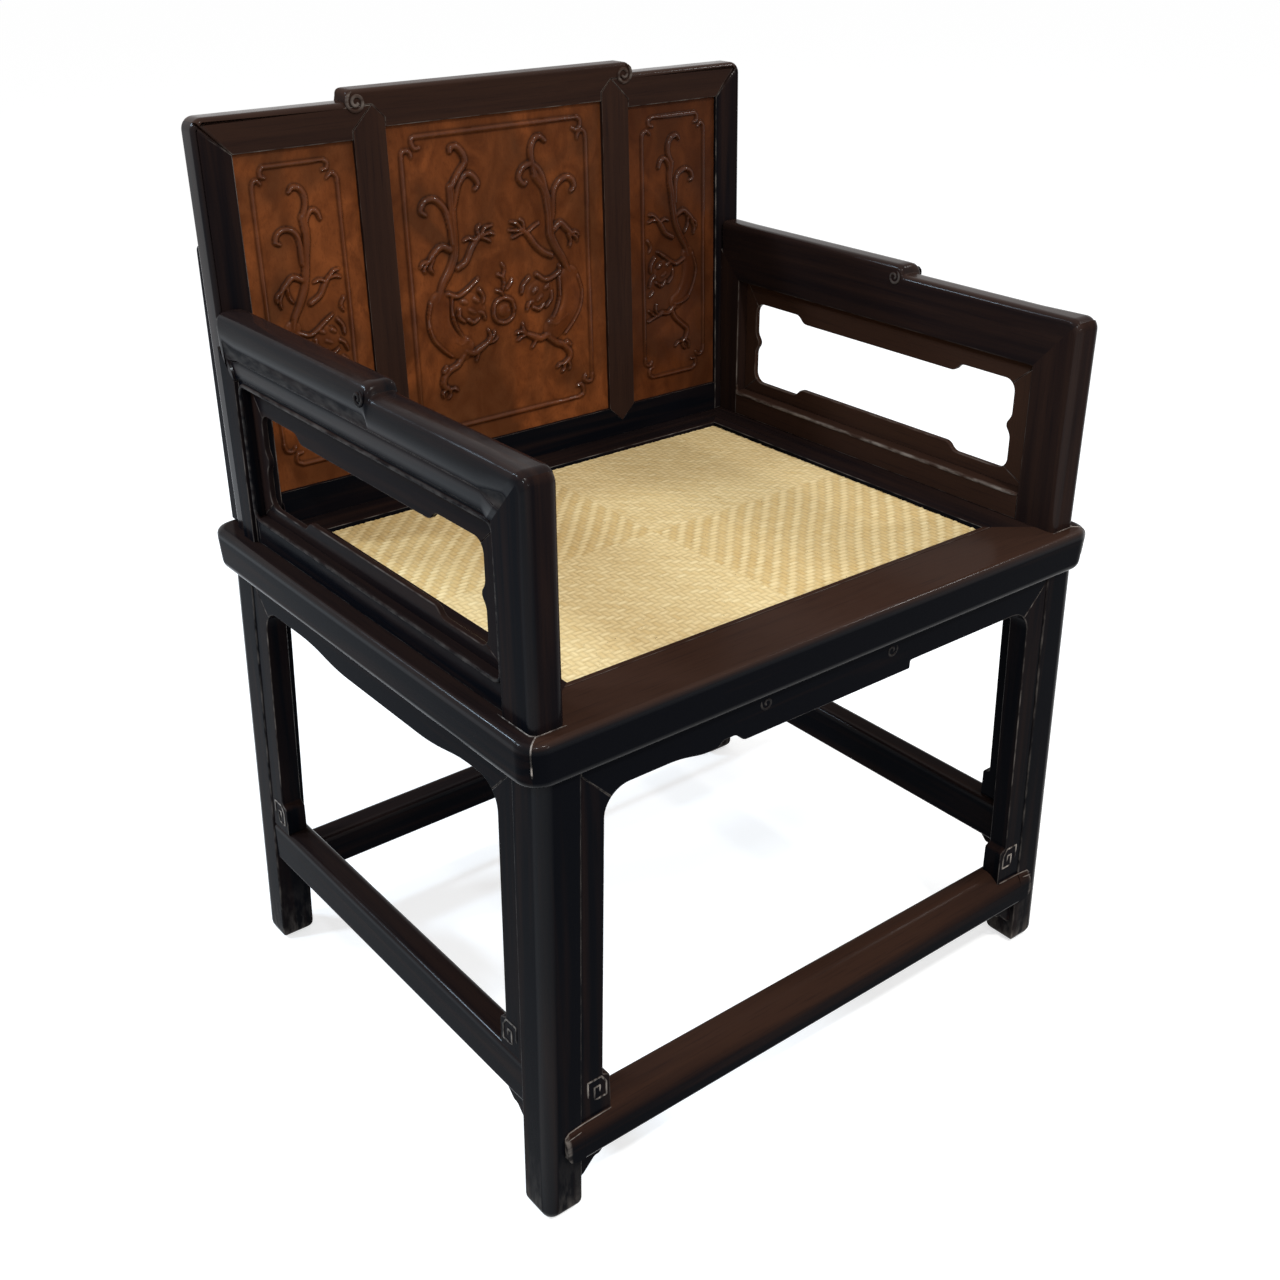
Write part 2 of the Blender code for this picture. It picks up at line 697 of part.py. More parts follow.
def make_end_frames(wood):
    """The front apron with its two strips, and the plain back apron."""
    outline = apron_points(left_edge, leg_in_x, cusped_wave(), plain_wave(), FRONT_DROP_SHIFT)
    part("apron_front", end_plate(outline, FRONT), wood)
    for side, edge in ((LEFT, left_edge), (RIGHT, leg_in_x)):
        outline = strip_points(edge, -side, FRONT_STRETCHER_TOP, FRONT_STRETCHER_BROW / 2)
        part(f"strip_front_{SIDE_NAMES[side]}", end_plate(outline, FRONT), wood)
    outline = plain_apron_points(left_edge, leg_in_x)
    part("apron_back", end_plate(outline, BACK), wood)


def make_side_frames(wood):
    """The side aprons, whose waves start behind the front corner, and their strips."""
    wave = sloped_wave()
    curve_end = front_edge(APRON_FOOT - APRON_CORNER_RADIUS) + STRIP_WIDTH + APRON_CORNER_RADIUS
    centre = curve_end + SIDE_DROP_SHIFT + wave[-1][0]
    for side in (LEFT, RIGHT):
        name = SIDE_NAMES[side]
        outline = apron_points(front_edge, back_edge, wave, wave, centre)
        part(f"apron_{name}", side_plate(outline, side), wood)
        for end, edge in ((FRONT, front_edge), (BACK, back_edge)):
            outline = strip_points(edge, -end, SIDE_STRETCHER_TOP)
            part(f"strip_{name}_{END_NAMES[end]}", side_plate(outline, side), wood)


def rounded_bar(low, high, axis, brow=STRETCHER_ROUNDING):
    """A bar with well rounded upper edges and lightly rounded lower ones along its length.

    A bar along X may have a wider rounding, its brow, on the upper edge at the front.
    """
    mesh = box(low, high)
    middle = (low[2] + high[2]) / 2
    depth = (low[1] + high[1]) / 2

    def along(a, b):
        return abs(a[axis] - b[axis]) > abs(high[axis] - low[axis]) / 2

    def upper(a, b):
        return along(a, b) and a.z > middle

    def upper_front(a, b):
        return upper(a, b) and axis == 0 and a.y < depth

    def upper_rest(a, b):
        return upper(a, b) and not upper_front(a, b)

    def lower(a, b):
        return along(a, b) and a.z < middle

    round_edges(mesh, STRETCHER_ROUNDING, 3, upper_rest)
    round_edges(mesh, STRETCHER_UNDER_ROUNDING, 1, lower)
    if axis == 0:
        round_edges(mesh, brow, 5, upper_front)
    return mesh


def stretcher_tenons(name, ends, z, across):
    """Tenons of a stretcher in the two legs at its ends.

    ends holds each leg's name, side, end and whether the stretcher runs along X; across is
    the place of the tenon's middle.
    """
    length = STRETCHER_TENON_LENGTH
    half_width = STRETCHER_TENON_WIDTH / 2
    half_height = STRETCHER_TENON_HEIGHT / 2
    for leg, side, end, along_x in ends:
        if along_x:
            face = side * leg_in_x(z)
            low = (face - length, across - half_width, z - half_height)
            high = (face + length, across + half_width, z + half_height)
        else:
            face = leg_in_y(end, z)
            low = (across - half_width, face - length, z - half_height)
            high = (across + half_width, face + length, z + half_height)
        tenon(name, [leg], low, high)


def leg_cuts(name, legs):
    """Cuts the legs' shapes out of the ends of a stretcher."""
    cuts = [leg_mesh(side, end, CLEARANCE) for side, end in legs]
    sockets.setdefault(name, []).extend(cuts)


def front_bar(grow):
    """The front stretcher before its joints are cut, and grown for use as a cutter."""
    z = FRONT_STRETCHER_TOP - FRONT_STRETCHER_HEIGHT / 2
    near = leg_out_y(FRONT, z) - FRONT_STRETCHER_LAP
    half = leg_in_x(z) + FRONT_LAP_LENGTH + grow
    low = (-half, near - grow, FRONT_STRETCHER_TOP - FRONT_STRETCHER_HEIGHT - grow)
    high = (half, near + FRONT_STRETCHER_DEPTH + grow, FRONT_STRETCHER_TOP + grow)
    return rounded_bar(low, high, 0, FRONT_STRETCHER_BROW)


def make_end_stretchers(wood):
    part("stretcher_front", front_bar(0), wood)
    for side in (LEFT, RIGHT):
        sockets.setdefault(f"strip_front_{SIDE_NAMES[side]}", []).append(front_bar(CLEARANCE))
    z = FRONT_STRETCHER_TOP - FRONT_STRETCHER_HEIGHT / 2
    legs = [("leg_front_left", LEFT, FRONT, True), ("leg_front_right", RIGHT, FRONT, True)]
    stretcher_tenons("stretcher_front", legs, z, leg_out_y(FRONT, z) + leg_size(z) / 2)

    z = BACK_STRETCHER_TOP - BACK_STRETCHER_HEIGHT / 2
    far = leg_out_y(BACK, z) - STRETCHER_SETBACK
    half = leg_in_x(z) + leg_size(z) / 2
    low = (-half, far - BACK_STRETCHER_THICKNESS, BACK_STRETCHER_TOP - BACK_STRETCHER_HEIGHT)
    high = (half, far, BACK_STRETCHER_TOP)
    part("stretcher_back", rounded_bar(low, high, 0), wood)
    legs = [("leg_back_left", LEFT, BACK, True), ("leg_back_right", RIGHT, BACK, True)]
    stretcher_tenons("stretcher_back", legs, z, leg_out_y(BACK, z) - leg_size(z) / 2)
    for end in (FRONT, BACK):
        leg_cuts(f"stretcher_{END_NAMES[end]}", ((LEFT, end), (RIGHT, end)))


def make_side_stretchers(wood):
    z = SIDE_STRETCHER_TOP - SIDE_STRETCHER_HEIGHT / 2
    out = leg_out_x(SIDE_STRETCHER_TOP) - STRETCHER_SETBACK
    front = leg_in_y(FRONT, z) - leg_size(z) / 2
    back = leg_in_y(BACK, z) + leg_size(z) / 2
    for side in (LEFT, RIGHT):
        name = SIDE_NAMES[side]
        xs = sorted((side * out, side * (out - SIDE_STRETCHER_THICKNESS)))
        low = (xs[0], front, SIDE_STRETCHER_TOP - SIDE_STRETCHER_HEIGHT)
        high = (xs[1], back, SIDE_STRETCHER_TOP)
        part(f"stretcher_{name}", rounded_bar(low, high, 1), wood)
        leg_cuts(f"stretcher_{name}", ((side, FRONT), (side, BACK)))
        legs = [(f"leg_front_{name}", side, FRONT, False), (f"leg_back_{name}", side, BACK, False)]
        stretcher_tenons(f"stretcher_{name}", legs, z, side * (leg_out_x(z) - leg_size(z) / 2))


def bracket_points(edge, inward, top):
    """Outline of a small cusped bracket in the corner of a leg and the stretcher above it."""
    step = BRACKET_STEP
    head = top - CLEARANCE
    foot = head - BRACKET_HEIGHT

    def at(distance, z):
        return (edge(z) + inward * (CLEARANCE + distance), z)

    return [
        at(0, head),
        at(BRACKET_LENGTH, head),
        at(BRACKET_LENGTH, head - step),
        at(BRACKET_LENGTH - step, head - 2 * step),
        at(BRACKET_LENGTH - 2 * step, head - 3 * step),
        at(BRACKET_LENGTH - 3 * step, head - 3 * step),
        at(step, foot + step / 2),
        at(0, foot),
    ]


def make_brackets(wood):
    under = FRONT_STRETCHER_TOP - FRONT_STRETCHER_HEIGHT
    near = leg_out_y(FRONT, under) + BRACKET_SETBACK
    for side in (LEFT, RIGHT):
        points = bracket_points(leg_in_x, -1, under)
        mesh = sheet(points, near, near + BRACKET_THICKNESS, "front")
        part(f"bracket_front_{SIDE_NAMES[side]}", mirrored(mesh, side), wood)
    under = SIDE_STRETCHER_TOP - SIDE_STRETCHER_HEIGHT
    out = leg_out_x(SIDE_STRETCHER_TOP) - BRACKET_SETBACK
    for side in (LEFT, RIGHT):
        points = bracket_points(front_edge, 1, under)
        mesh = sheet(points, out - BRACKET_THICKNESS, out, "side")
        part(f"bracket_side_{SIDE_NAMES[side]}", mirrored(mesh, side), wood)


def lining_points(frame_ends, frame_line, hole_ends, hole_line, cusp, cusp_start):
    """Outline of one lining strip: straight along its frame, cusped along the opening.

    Lengths run along the strip, lines are places across it, and the ends are mitred.
    """
    radius = LINING_CORNER_RADIUS
    bulge = cusp * LINING_CUSP_BULGE
    rise = 1 if hole_line > frame_line else -1
    points = [(frame_ends[0] + CLEARANCE, frame_line), (frame_ends[1] - CLEARANCE, frame_line)]
    for end, inward in ((hole_ends[1], -1), (hole_ends[0], 1)):
        centre = (end + inward * radius, hole_line + rise * radius)
        angles = [math.radians(45 + 45 * i / 3) for i in range(4)]
        curve = [
            (
                centre[0] - inward * radius * math.cos(a) + inward * CLEARANCE / 2,
                centre[1] - rise * radius * math.sin(a),
            )
            for a in angles
        ]
        curve += [
            (end + inward * cusp_start, hole_line),
            (end + inward * (cusp_start + LINING_CUSP_LENGTH / 2), hole_line + rise * bulge),
            (end + inward * (cusp_start + LINING_CUSP_LENGTH), hole_line + rise * cusp),
        ]
        points += curve if inward < 0 else curve[::-1]
    return points


def arm_corner():
    """Points over the rounded corner at the top of an arm's front post."""
    radius = ARM_CORNER_RADIUS
    return arc((ARM_FRONT + radius, ARM_TOP - radius), radius, 180, 90, 4)


def lengthwise(a, b):
    """Whether an edge of an arm piece runs in the plane of the arm frame."""
    return abs(a.x - b.x) < NEAR


def trim_arm_rear(mesh, keep):
    """Cuts an arm piece along its rear mitre and where it meets the leaning back."""
    start = (REAR_POST_FRONT, ARM_RAIL_FOOT)
    end = (REAR_POST_FRONT + ARM_RAIL_HEIGHT, ARM_RAIL_FOOT + ARM_RAIL_HEIGHT)
    trim_mitre(mesh, start, end, "side", keep)
    trim(mesh, Vector((0, BACK_FACE - CLEARANCE, SEAT_HEIGHT)), Vector((0, 1, -BACK_RAKE)))


def arm_rail_mesh():
    step = ARM_FRONT + ARM_STEP_AT
    high = ARM_TOP + ARM_STEP
    head = arm_corner() + [
        (step, ARM_TOP),
        (step + ARM_STEP_LENGTH / 3, ARM_TOP + ARM_STEP / 2),
        (step + ARM_STEP_LENGTH, high),
        (ARM_BEYOND, high),
    ]
    shape = [(ARM_FRONT, ARM_RAIL_FOOT)] + head + [(ARM_BEYOND, ARM_RAIL_FOOT)]
    mesh = sheet(shape, ARM_IN, ARM_OUT, "side")

    def head_edge(a, b):
        return lengthwise(a, b) and min(a.z, b.z) > ARM_TOP - 2 * ARM_CORNER_RADIUS

    round_edges(mesh, ARM_ROUNDING, 3, head_edge)
    trim_mitre(mesh, (ARM_FRONT, ARM_TOP), (ARM_POST_BACK, ARM_RAIL_FOOT), "side", (ARM_BEYOND, high))
    trim_arm_rear(mesh, (step, ARM_RAIL_FOOT))
    return mesh


def front_post_mesh():
    shape = [(ARM_FRONT, ARM_BASE)] + arm_corner() + [(ARM_POST_BACK, ARM_TOP), (ARM_POST_BACK, ARM_BASE)]
    mesh = sheet(shape, ARM_IN, ARM_OUT, "side")

    def front_face_edge(a, b):
        return lengthwise(a, b) and max(a.y, b.y) < ARM_FRONT + 2 * ARM_CORNER_RADIUS

    round_edges(mesh, ARM_ROUNDING, 3, front_face_edge)
    foot = (ARM_FRONT, ARM_BASE)
    trim_mitre(mesh, (ARM_FRONT, ARM_TOP), (ARM_POST_BACK, ARM_RAIL_FOOT), "side", foot)
    return mesh


def rear_post_mesh():
    high = ARM_TOP + ARM_STEP
    shape = [
        (REAR_POST_FRONT, ARM_BASE),
        (ARM_BEYOND, ARM_BASE),
        (ARM_BEYOND, high),
        (REAR_POST_FRONT, high),
    ]
    mesh = sheet(shape, ARM_IN, ARM_OUT, "side")
    trim_arm_rear(mesh, (ARM_BEYOND, ARM_BASE))
    return mesh


def post_tenon(post, rails, side, middle):
    """The tenon under an arm post, in the seat rails."""
    xs = sorted(side * (ARM_MIDDLE + way * ARM_TENON_THICKNESS / 2) for way in (-1, 1))
    half = ARM_TENON_WIDTH / 2
    low = (xs[0], middle - half, SEAT_HEIGHT - ARM_TENON_LENGTH)
    high = (xs[1], middle + half, ARM_BASE + TENON_ROOT)
    tenon(post, rails, low, high)


def make_arms(wood):
    start = ARM_POST_BACK + CLEARANCE
    end = REAR_POST_FRONT - CLEARANCE
    for side in (LEFT, RIGHT):
        name = SIDE_NAMES[side]
        part(f"arm_rail_{name}", mirrored(arm_rail_mesh(), side), wood)
        post = f"arm_post_front_{name}"
        part(post, mirrored(front_post_mesh(), side), wood)
        middle = ARM_FRONT + ARM_POST_WIDTH / 2
        post_tenon(post, [f"seat_rail_{name}", "seat_rail_front"], side, middle)
        post = f"arm_post_rear_{name}"
        part(post, mirrored(rear_post_mesh(), side), wood)
        middle = REAR_POST_FRONT + ARM_REAR_POST_WIDTH / 2
        post_tenon(post, [f"seat_rail_{name}", "seat_rail_back"], side, middle)
        make_foot_rail(wood, side, start, end)
        make_lining(wood, side, (start, end))


def make_foot_rail(wood, side, start, end):
    """The lowest rail of an arm frame, tenoned into both posts."""
    name = SIDE_NAMES[side]
    out = ARM_OUT - ARM_FOOT_RAIL_SETBACK
    mesh = box((ARM_IN, start, ARM_BASE), (out, end, ARM_FOOT_RAIL_TOP))
    part(f"arm_foot_rail_{name}", mirrored(mesh, side), wood)
    half = ARM_TENON_THICKNESS / 2
    xs = sorted(side * (ARM_MIDDLE + way * half) for way in (-1, 1))
    z = (ARM_BASE + ARM_FOOT_RAIL_TOP) / 2
    for face, post in ((start, "arm_post_front"), (end, "arm_post_rear")):
        low = (xs[0], face - ARM_TENON_LENGTH, z - half)
        high = (xs[1], face + ARM_TENON_LENGTH, z + half)
        tenon(f"arm_foot_rail_{name}", [f"{post}_{name}"], low, high)


def make_lining(wood, side, frame):
    """Four strips that line an arm frame and leave a cusped opening."""
    name = SIDE_NAMES[side]
    out = ARM_OUT - LINING_SETBACK
    inside = out - LINING_THICKNESS
    heights = (ARM_FOOT_RAIL_TOP + CLEARANCE, ARM_RAIL_FOOT - CLEARANCE)
    runs = (frame[0] + LINING_FRONT, frame[1] - LINING_REAR)
    levels = (heights[0] + LINING_FOOT, heights[1] - LINING_TOP)
    run_cusp = (LINING_RUN_CUSP, LINING_RUN_START)
    end_cusp = (LINING_END_CUSP, LINING_END_START)
    outlines = {
        "foot": lining_points(frame, heights[0], runs, levels[0], *run_cusp),
        "top": lining_points(frame, heights[1], runs, levels[1], *run_cusp),
        "front": lining_points(heights, frame[0], levels, runs[0], *end_cusp),
        "rear": lining_points(heights, frame[1], levels, runs[1], *end_cusp),
    }
    for place, points in outlines.items():
        if place in ("front", "rear"):
            points = [(v, u) for u, v in points]
        mesh = sheet(points, inside, out, "side")
        part(f"arm_lining_{place}_{name}", mirrored(mesh, side), wood)


def back_plate(points):
    """A flat piece of the back, as thick as its frame, before it is leaned."""
    return sheet(points, BACK_FACE, BACK_REAR, "front")


def back_corner():
    """Points over the rounded upper corner of the back, on the right."""
    radius = BACK_CORNER_RADIUS
    return arc((STILE_OUT - radius, BACK_SIDE_TOP - radius), radius, 0, 90, 4)


def in_face(a, b):
    """Whether an edge of a back piece lies in its front or rear face."""
    return abs(a.y - b.y) < NEAR


def trim_back_mitre(mesh, keep):
    """Cuts along the mitre between an outer stile and its top rail."""
    trim_mitre(mesh, (STILE_IN, SIDE_RAIL_FOOT), (STILE_OUT, BACK_SIDE_TOP), "front", keep)


def make_outer_stile(wood, side):
    name = SIDE_NAMES[side]
    shape = [(STILE_IN, BACK_BASE), (STILE_OUT, BACK_BASE)] + back_corner() + [(STILE_IN, BACK_SIDE_TOP)]
    mesh = back_plate(shape)

    def outer_edge(a, b):
        outside = min(a.x, b.x) > STILE_IN + CLEARANCE
        above = min(a.z, b.z) > SIDE_RAIL_FOOT + CLEARANCE
        return in_face(a, b) and (outside or above)

    round_edges(mesh, BACK_ROUNDING, 2, outer_edge)
    trim_back_mitre(mesh, (STILE_OUT, BACK_BASE))
    part(f"back_stile_outer_{name}", mirrored(rake(mesh), side), wood)
    middle = (STILE_IN + STILE_OUT) / 2
    half = BACK_TENON_WIDTH / 2
    xs = sorted((side * (middle - half), side * (middle + half)))
    low = (xs[0], BACK_MIDDLE - half, SEAT_HEIGHT - BACK_TENON_LENGTH)
    high = (xs[1], BACK_MIDDLE + half, BACK_BASE + TENON_ROOT)
    tenon(f"back_stile_outer_{name}", ["seat_rail_back", f"seat_rail_{name}"], low, high, rake)


def make_inner_stile(wood, side):
    """An inner stile, pointed at its foot and ending in a spear point at its head."""
    shape = [
        (INNER_STILE_IN, BOTTOM_RAIL_TOP),
        (INNER_STILE_MIDDLE, BOTTOM_RAIL_TOP - SPEAR_FOOT),
        (INNER_STILE_OUT, BOTTOM_RAIL_TOP),
        (INNER_STILE_OUT, SPEAR_OUTER_SHOULDER),
        (SPEAR_AT, SPEAR_TIP),
        (INNER_STILE_IN, SPEAR_INNER_SHOULDER),
    ]
    mesh = rake(back_plate(shape))
    part(f"back_stile_inner_{SIDE_NAMES[side]}", mirrored(mesh, side), wood)


def rail_tenon(rail, side, start, end, foot, shoulder):
    """The tenon of a top rail in an inner stile, behind the panels' grooves."""
    xs = sorted((side * start, side * end))
    z = (foot + shoulder) / 2
    rise = (shoulder - foot) * RAIL_TENON_SHARE / 2
    low = (xs[0], PANEL_REAR + BACK_TENON_COVER, z - rise)
    high = (xs[1], BACK_REAR - BACK_TENON_COVER, z + rise)
    tenon(rail, [f"back_stile_inner_{SIDE_NAMES[side]}"], low, high, rake)


def make_side_rail(wood, side):
    """A top rail between an outer stile and the spear point of an inner one."""
    name = SIDE_NAMES[side]
    start = INNER_STILE_OUT + CLEARANCE
    reach = SCROLL_END + CLEARANCE
    under = [
        (start, SIDE_RAIL_FOOT),
        (start, SPEAR_OUTER_SHOULDER + CLEARANCE),
        (SPEAR_AT + CLEARANCE, SPEAR_TIP),
        (reach, SPEAR_TIP),
        (reach, BACK_SIDE_TOP),
    ]
    mesh = back_plate(under + back_corner()[::-1] + [(STILE_OUT, SIDE_RAIL_FOOT)])

    def top_edge(a, b):
        level = abs(a.x - b.x) > NEAR
        return in_face(a, b) and level and min(a.z, b.z) > SPEAR_TIP + CLEARANCE

    round_edges(mesh, BACK_ROUNDING, 2, top_edge)
    trim_back_mitre(mesh, (SCROLL_END, BACK_SIDE_TOP))
    part(f"back_rail_{name}", mirrored(rake(mesh), side), wood)
    root = INNER_STILE_OUT + BACK_TENON_LENGTH
    end = INNER_STILE_OUT - PANEL_REACH
    rail_tenon(f"back_rail_{name}", side, root, end, SIDE_RAIL_FOOT, SPEAR_OUTER_SHOULDER)


def make_centre_rail(wood):
    """The raised top rail, which sits over both spear points and ends in scrolls."""
    radius = SCROLL_RADIUS
    scroll = arc((SCROLL_END - radius, BACK_CENTRE_TOP - radius), radius, 0, 90, 3)
    right = [
        (INNER_STILE_IN - CLEARANCE, CENTRE_RAIL_FOOT),
        (INNER_STILE_IN - CLEARANCE, SPEAR_INNER_SHOULDER + CLEARANCE),
        (SPEAR_AT, SPEAR_TIP + CLEARANCE),
        (SCROLL_END, SPEAR_TIP + 2 * CLEARANCE),
    ] + scroll
    mesh = back_plate(right + [(-x, z) for x, z in right[::-1]])

    def top_edge(a, b):
        return in_face(a, b) and min(a.z, b.z) > BACK_CENTRE_TOP - NEAR

    round_edges(mesh, BACK_ROUNDING, 2, top_edge)
    part("back_rail_centre", rake(mesh), wood)
    root = INNER_STILE_IN - BACK_TENON_LENGTH
    end = INNER_STILE_IN + PANEL_REACH
    for side in (LEFT, RIGHT):
        rail_tenon("back_rail_centre", side, root, end, CENTRE_RAIL_FOOT, SPEAR_INNER_SHOULDER)


def make_bottom_rail(wood):
    """The lowest rail of the back, notched for the pointed feet of the inner stiles."""
    end = STILE_IN - CLEARANCE
    top = BOTTOM_RAIL_TOP - CLEARANCE
    right = [
        (end, BACK_BASE),
        (end, top),
        (INNER_STILE_OUT + CLEARANCE, top),
        (INNER_STILE_MIDDLE, top - SPEAR_FOOT - CLEARANCE),
        (INNER_STILE_IN - CLEARANCE, top),
    ]
    mesh = back_plate(right + [(-x, z) for x, z in right[::-1]])
    part("back_rail_bottom", rake(mesh), wood)
    z = (BACK_BASE + BOTTOM_RAIL_TOP) / 2
    half = BACK_TENON_WIDTH / 2
    for side in (LEFT, RIGHT):
        xs = sorted((side * (end - BACK_TENON_LENGTH), side * (end + BACK_TENON_LENGTH)))
        low = (xs[0], BACK_MIDDLE - half, z - half)
        high = (xs[1], BACK_MIDDLE + half, z + half)
        tenon("back_rail_bottom", [f"back_stile_outer_{SIDE_NAMES[side]}"], low, high, rake)


def make_panel(name, burl, xs, head, holders):
    """A panel whose tongues lie in the grooves of the pieces round it."""
    low = (min(xs) - PANEL_REACH, PANEL_FACE, BOTTOM_RAIL_TOP - PANEL_REACH)
    high = (max(xs) + PANEL_REACH, PANEL_REAR, head + PANEL_REACH)
    part(name, rake(box(low, high)), burl)
    tenon(None, holders + ["back_rail_bottom"], low, high, rake)


def make_brace(wood, side):
    """A slim brace behind an outer stile, round at its head."""
    out = STILE_OUT - REAR_BRACE_INSET
    head = SEAT_HEIGHT + REAR_BRACE_HEIGHT
    near = BACK_REAR + CLEARANCE
    bend = REAR_BRACE_TOP_DEPTH / 2
    top = arc((near + bend, head - bend), bend, 0, 90, 4)
    shape = [(near, BACK_BASE), (near + REAR_BRACE_FOOT_DEPTH, BACK_BASE)] + top + [(near, head)]
    mesh = sheet(shape, out - REAR_BRACE_WIDTH, out, "side")
    part(f"back_brace_{SIDE_NAMES[side]}", mirrored(rake(mesh), side), wood)


def make_back(wood, burl):
    for side in (LEFT, RIGHT):
        name = SIDE_NAMES[side]
        make_outer_stile(wood, side)
        make_inner_stile(wood, side)
        make_side_rail(wood, side)
        holders = [f"back_stile_outer_{name}", f"back_stile_inner_{name}", f"back_rail_{name}"]
        xs = (side * INNER_STILE_OUT, side * STILE_IN)
        make_panel(f"back_panel_{name}", burl, xs, SIDE_RAIL_FOOT, holders)
        make_brace(wood, side)
    make_centre_rail(wood)
    holders = ["back_stile_inner_left", "back_stile_inner_right", "back_rail_centre"]
    xs = (-INNER_STILE_IN, INNER_STILE_IN)
    make_panel("back_panel_centre", burl, xs, CENTRE_RAIL_FOOT, holders)
    make_bottom_rail(wood)


def helper(name, meshes, home):
    """One hidden object that holds the blocks added to, or cut from, a piece."""
    whole = bmesh.new()
    for mesh in meshes:
        data = bpy.data.meshes.new(name)
        mesh.to_mesh(data)
        whole.from_mesh(data)
        mesh.free()
        bpy.data.meshes.remove(data)
    bmesh.ops.recalc_face_normals(whole, faces=whole.faces)
    data = bpy.data.meshes.new(name)
    whole.to_mesh(data)
    whole.free()
    made = bpy.data.objects.new(name, data)
    made.hide_render = True
    made.display_type = "WIRE"
    home.objects.link(made)
    return made


def fit_joints():
    """Cuts the mortises and grooves, then adds the tenons."""
    home = collection_named("joint_shapes")
    home.hide_render = True
    for shapes, operation in ((sockets, "DIFFERENCE"), (tenons, "UNION")):
        for name, meshes in shapes.items():
            modifier = bpy.data.objects[name].modifiers.new(operation.lower(), "BOOLEAN")
            modifier.operation = operation
            modifier.solver = "EXACT"
            modifier.object = helper(f"{name}_{operation.lower()}", meshes, home)


def main():
    clear_scene()
    home = collection_named(PARTS)
    home.objects.link(bpy.data.objects.new(CENTRE_MARK, None))
    wood = material_named("dark_hardwood", (0.012, 0.006, 0.005), 0.3)
    board_wood = material_named("plain_hardwood", (0.08, 0.04, 0.02), 0.6)
    burl = material_named("burl_wood", (0.16, 0.055, 0.014), 0.4)
    straw = material_named("woven_straw", (0.55, 0.40, 0.18), 0.8)
    make_legs(wood)
    make_seat_rails(wood)
    make_corner_tenons()
    make_seat_filling(board_wood, straw)
    make_end_frames(wood)
    make_side_frames(wood)
    make_end_stretchers(wood)
    make_side_stretchers(wood)
    make_brackets(wood)
    make_arms(wood)
    make_back(wood, burl)
    fit_joints()


main()
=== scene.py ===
"""Throne chair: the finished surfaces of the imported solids, as a small Blender add-on.

Metres, +Z up, front of the chair along -Y. Every piece is a surface worked out from the chair's
own sizes: a flat outline with rounded edges, a moulded section between two edge lines, a ridge
along a path, or a height drawn over a panel or over the mat.
"""

from collections import namedtuple

import bpy
import numpy as np
from mathutils import Matrix, Vector


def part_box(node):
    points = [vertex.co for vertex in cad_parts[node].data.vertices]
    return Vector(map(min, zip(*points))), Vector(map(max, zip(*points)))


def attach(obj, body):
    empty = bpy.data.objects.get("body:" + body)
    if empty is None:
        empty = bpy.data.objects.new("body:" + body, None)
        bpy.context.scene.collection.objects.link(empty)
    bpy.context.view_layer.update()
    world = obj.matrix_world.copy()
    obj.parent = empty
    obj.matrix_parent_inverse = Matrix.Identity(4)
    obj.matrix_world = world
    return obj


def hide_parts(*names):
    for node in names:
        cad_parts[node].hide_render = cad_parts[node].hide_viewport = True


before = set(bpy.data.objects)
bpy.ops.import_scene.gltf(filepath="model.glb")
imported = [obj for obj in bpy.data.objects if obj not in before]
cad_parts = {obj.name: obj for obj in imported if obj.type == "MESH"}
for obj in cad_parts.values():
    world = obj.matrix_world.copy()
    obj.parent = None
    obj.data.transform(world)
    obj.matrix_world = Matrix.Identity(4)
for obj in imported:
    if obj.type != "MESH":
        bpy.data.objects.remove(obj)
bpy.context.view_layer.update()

bl_info = {
    "name": "Throne Chair",
    "version": (1, 0, 0),
    "blender": (4, 5, 0),
    "location": "View3D > Sidebar > Chair",
    "description": "Builds a hardwood throne chair with carved burl panels and a woven mat",
    "category": "Add Mesh",
}

# Sides and ends of the chair
LEFT, RIGHT, FRONT, BACK = -1, 1, -1, 1
SIDE_NAMES = {LEFT: "left", RIGHT: "right"}
END_NAMES = {FRONT: "front", BACK: "back"}

# Seat
SEAT_HALF = 0.340
SEAT_FRONT, SEAT_BACK = -0.2805, 0.2805
SEAT_TOP, SEAT_FOOT = 0.500, 0.459
SEAT_CORNER_RADIUS = 0.021
SEAT_TOP_ROUNDING = 0.009
SEAT_FOOT_ROUNDING = 0.007
SEAT_EDGE_TAPER = 0.003
OPENING_HALF = 0.253
OPENING_FRONT, OPENING_BACK = -0.2100, 0.1945
INNER_STRIP_WIDTH = 0.009
TENON_FOOT, TENON_TOP = 0.464, 0.477
TENON_NEAR, TENON_WIDTH = 0.2345, 0.028

# Legs, aprons, strips and stretchers
LEG_TOP = 0.4587
LEG_TOP_SIZE, LEG_FOOT_SIZE = 0.040, 0.037
LEG_OUTER_CUT, LEG_EDGE_RADIUS = 0.0126, 0.002
TOE_HEIGHT, TOE_DRAW, TOE_END, TOE_RUB = 0.0112, 0.0091, 0.03, 0.02
LEG_SIDE_INSET, LEG_FRONT_INSET, LEG_BACK_INSET = 0.0145, 0.008, 0.012
LEG_SIDE_SPLAY, LEG_FRONT_SPLAY, LEG_BACK_SPLAY = 0.0115, 0.003, 0.012
STRIP_WIDTH, STRIP_THICKNESS, STRIP_SETBACK = 0.024, 0.022, 0.0015
APRON_FOOT, APRON_DROP, APRON_CORNER_RADIUS = 0.4297, 0.0085, 0.026
APRON_BEND = APRON_FOOT - APRON_CORNER_RADIUS
APRON_CURL_AT, APRON_CURL_HEIGHT, APRON_CURL_RADIUS = 0.077, 0.449, 0.0070
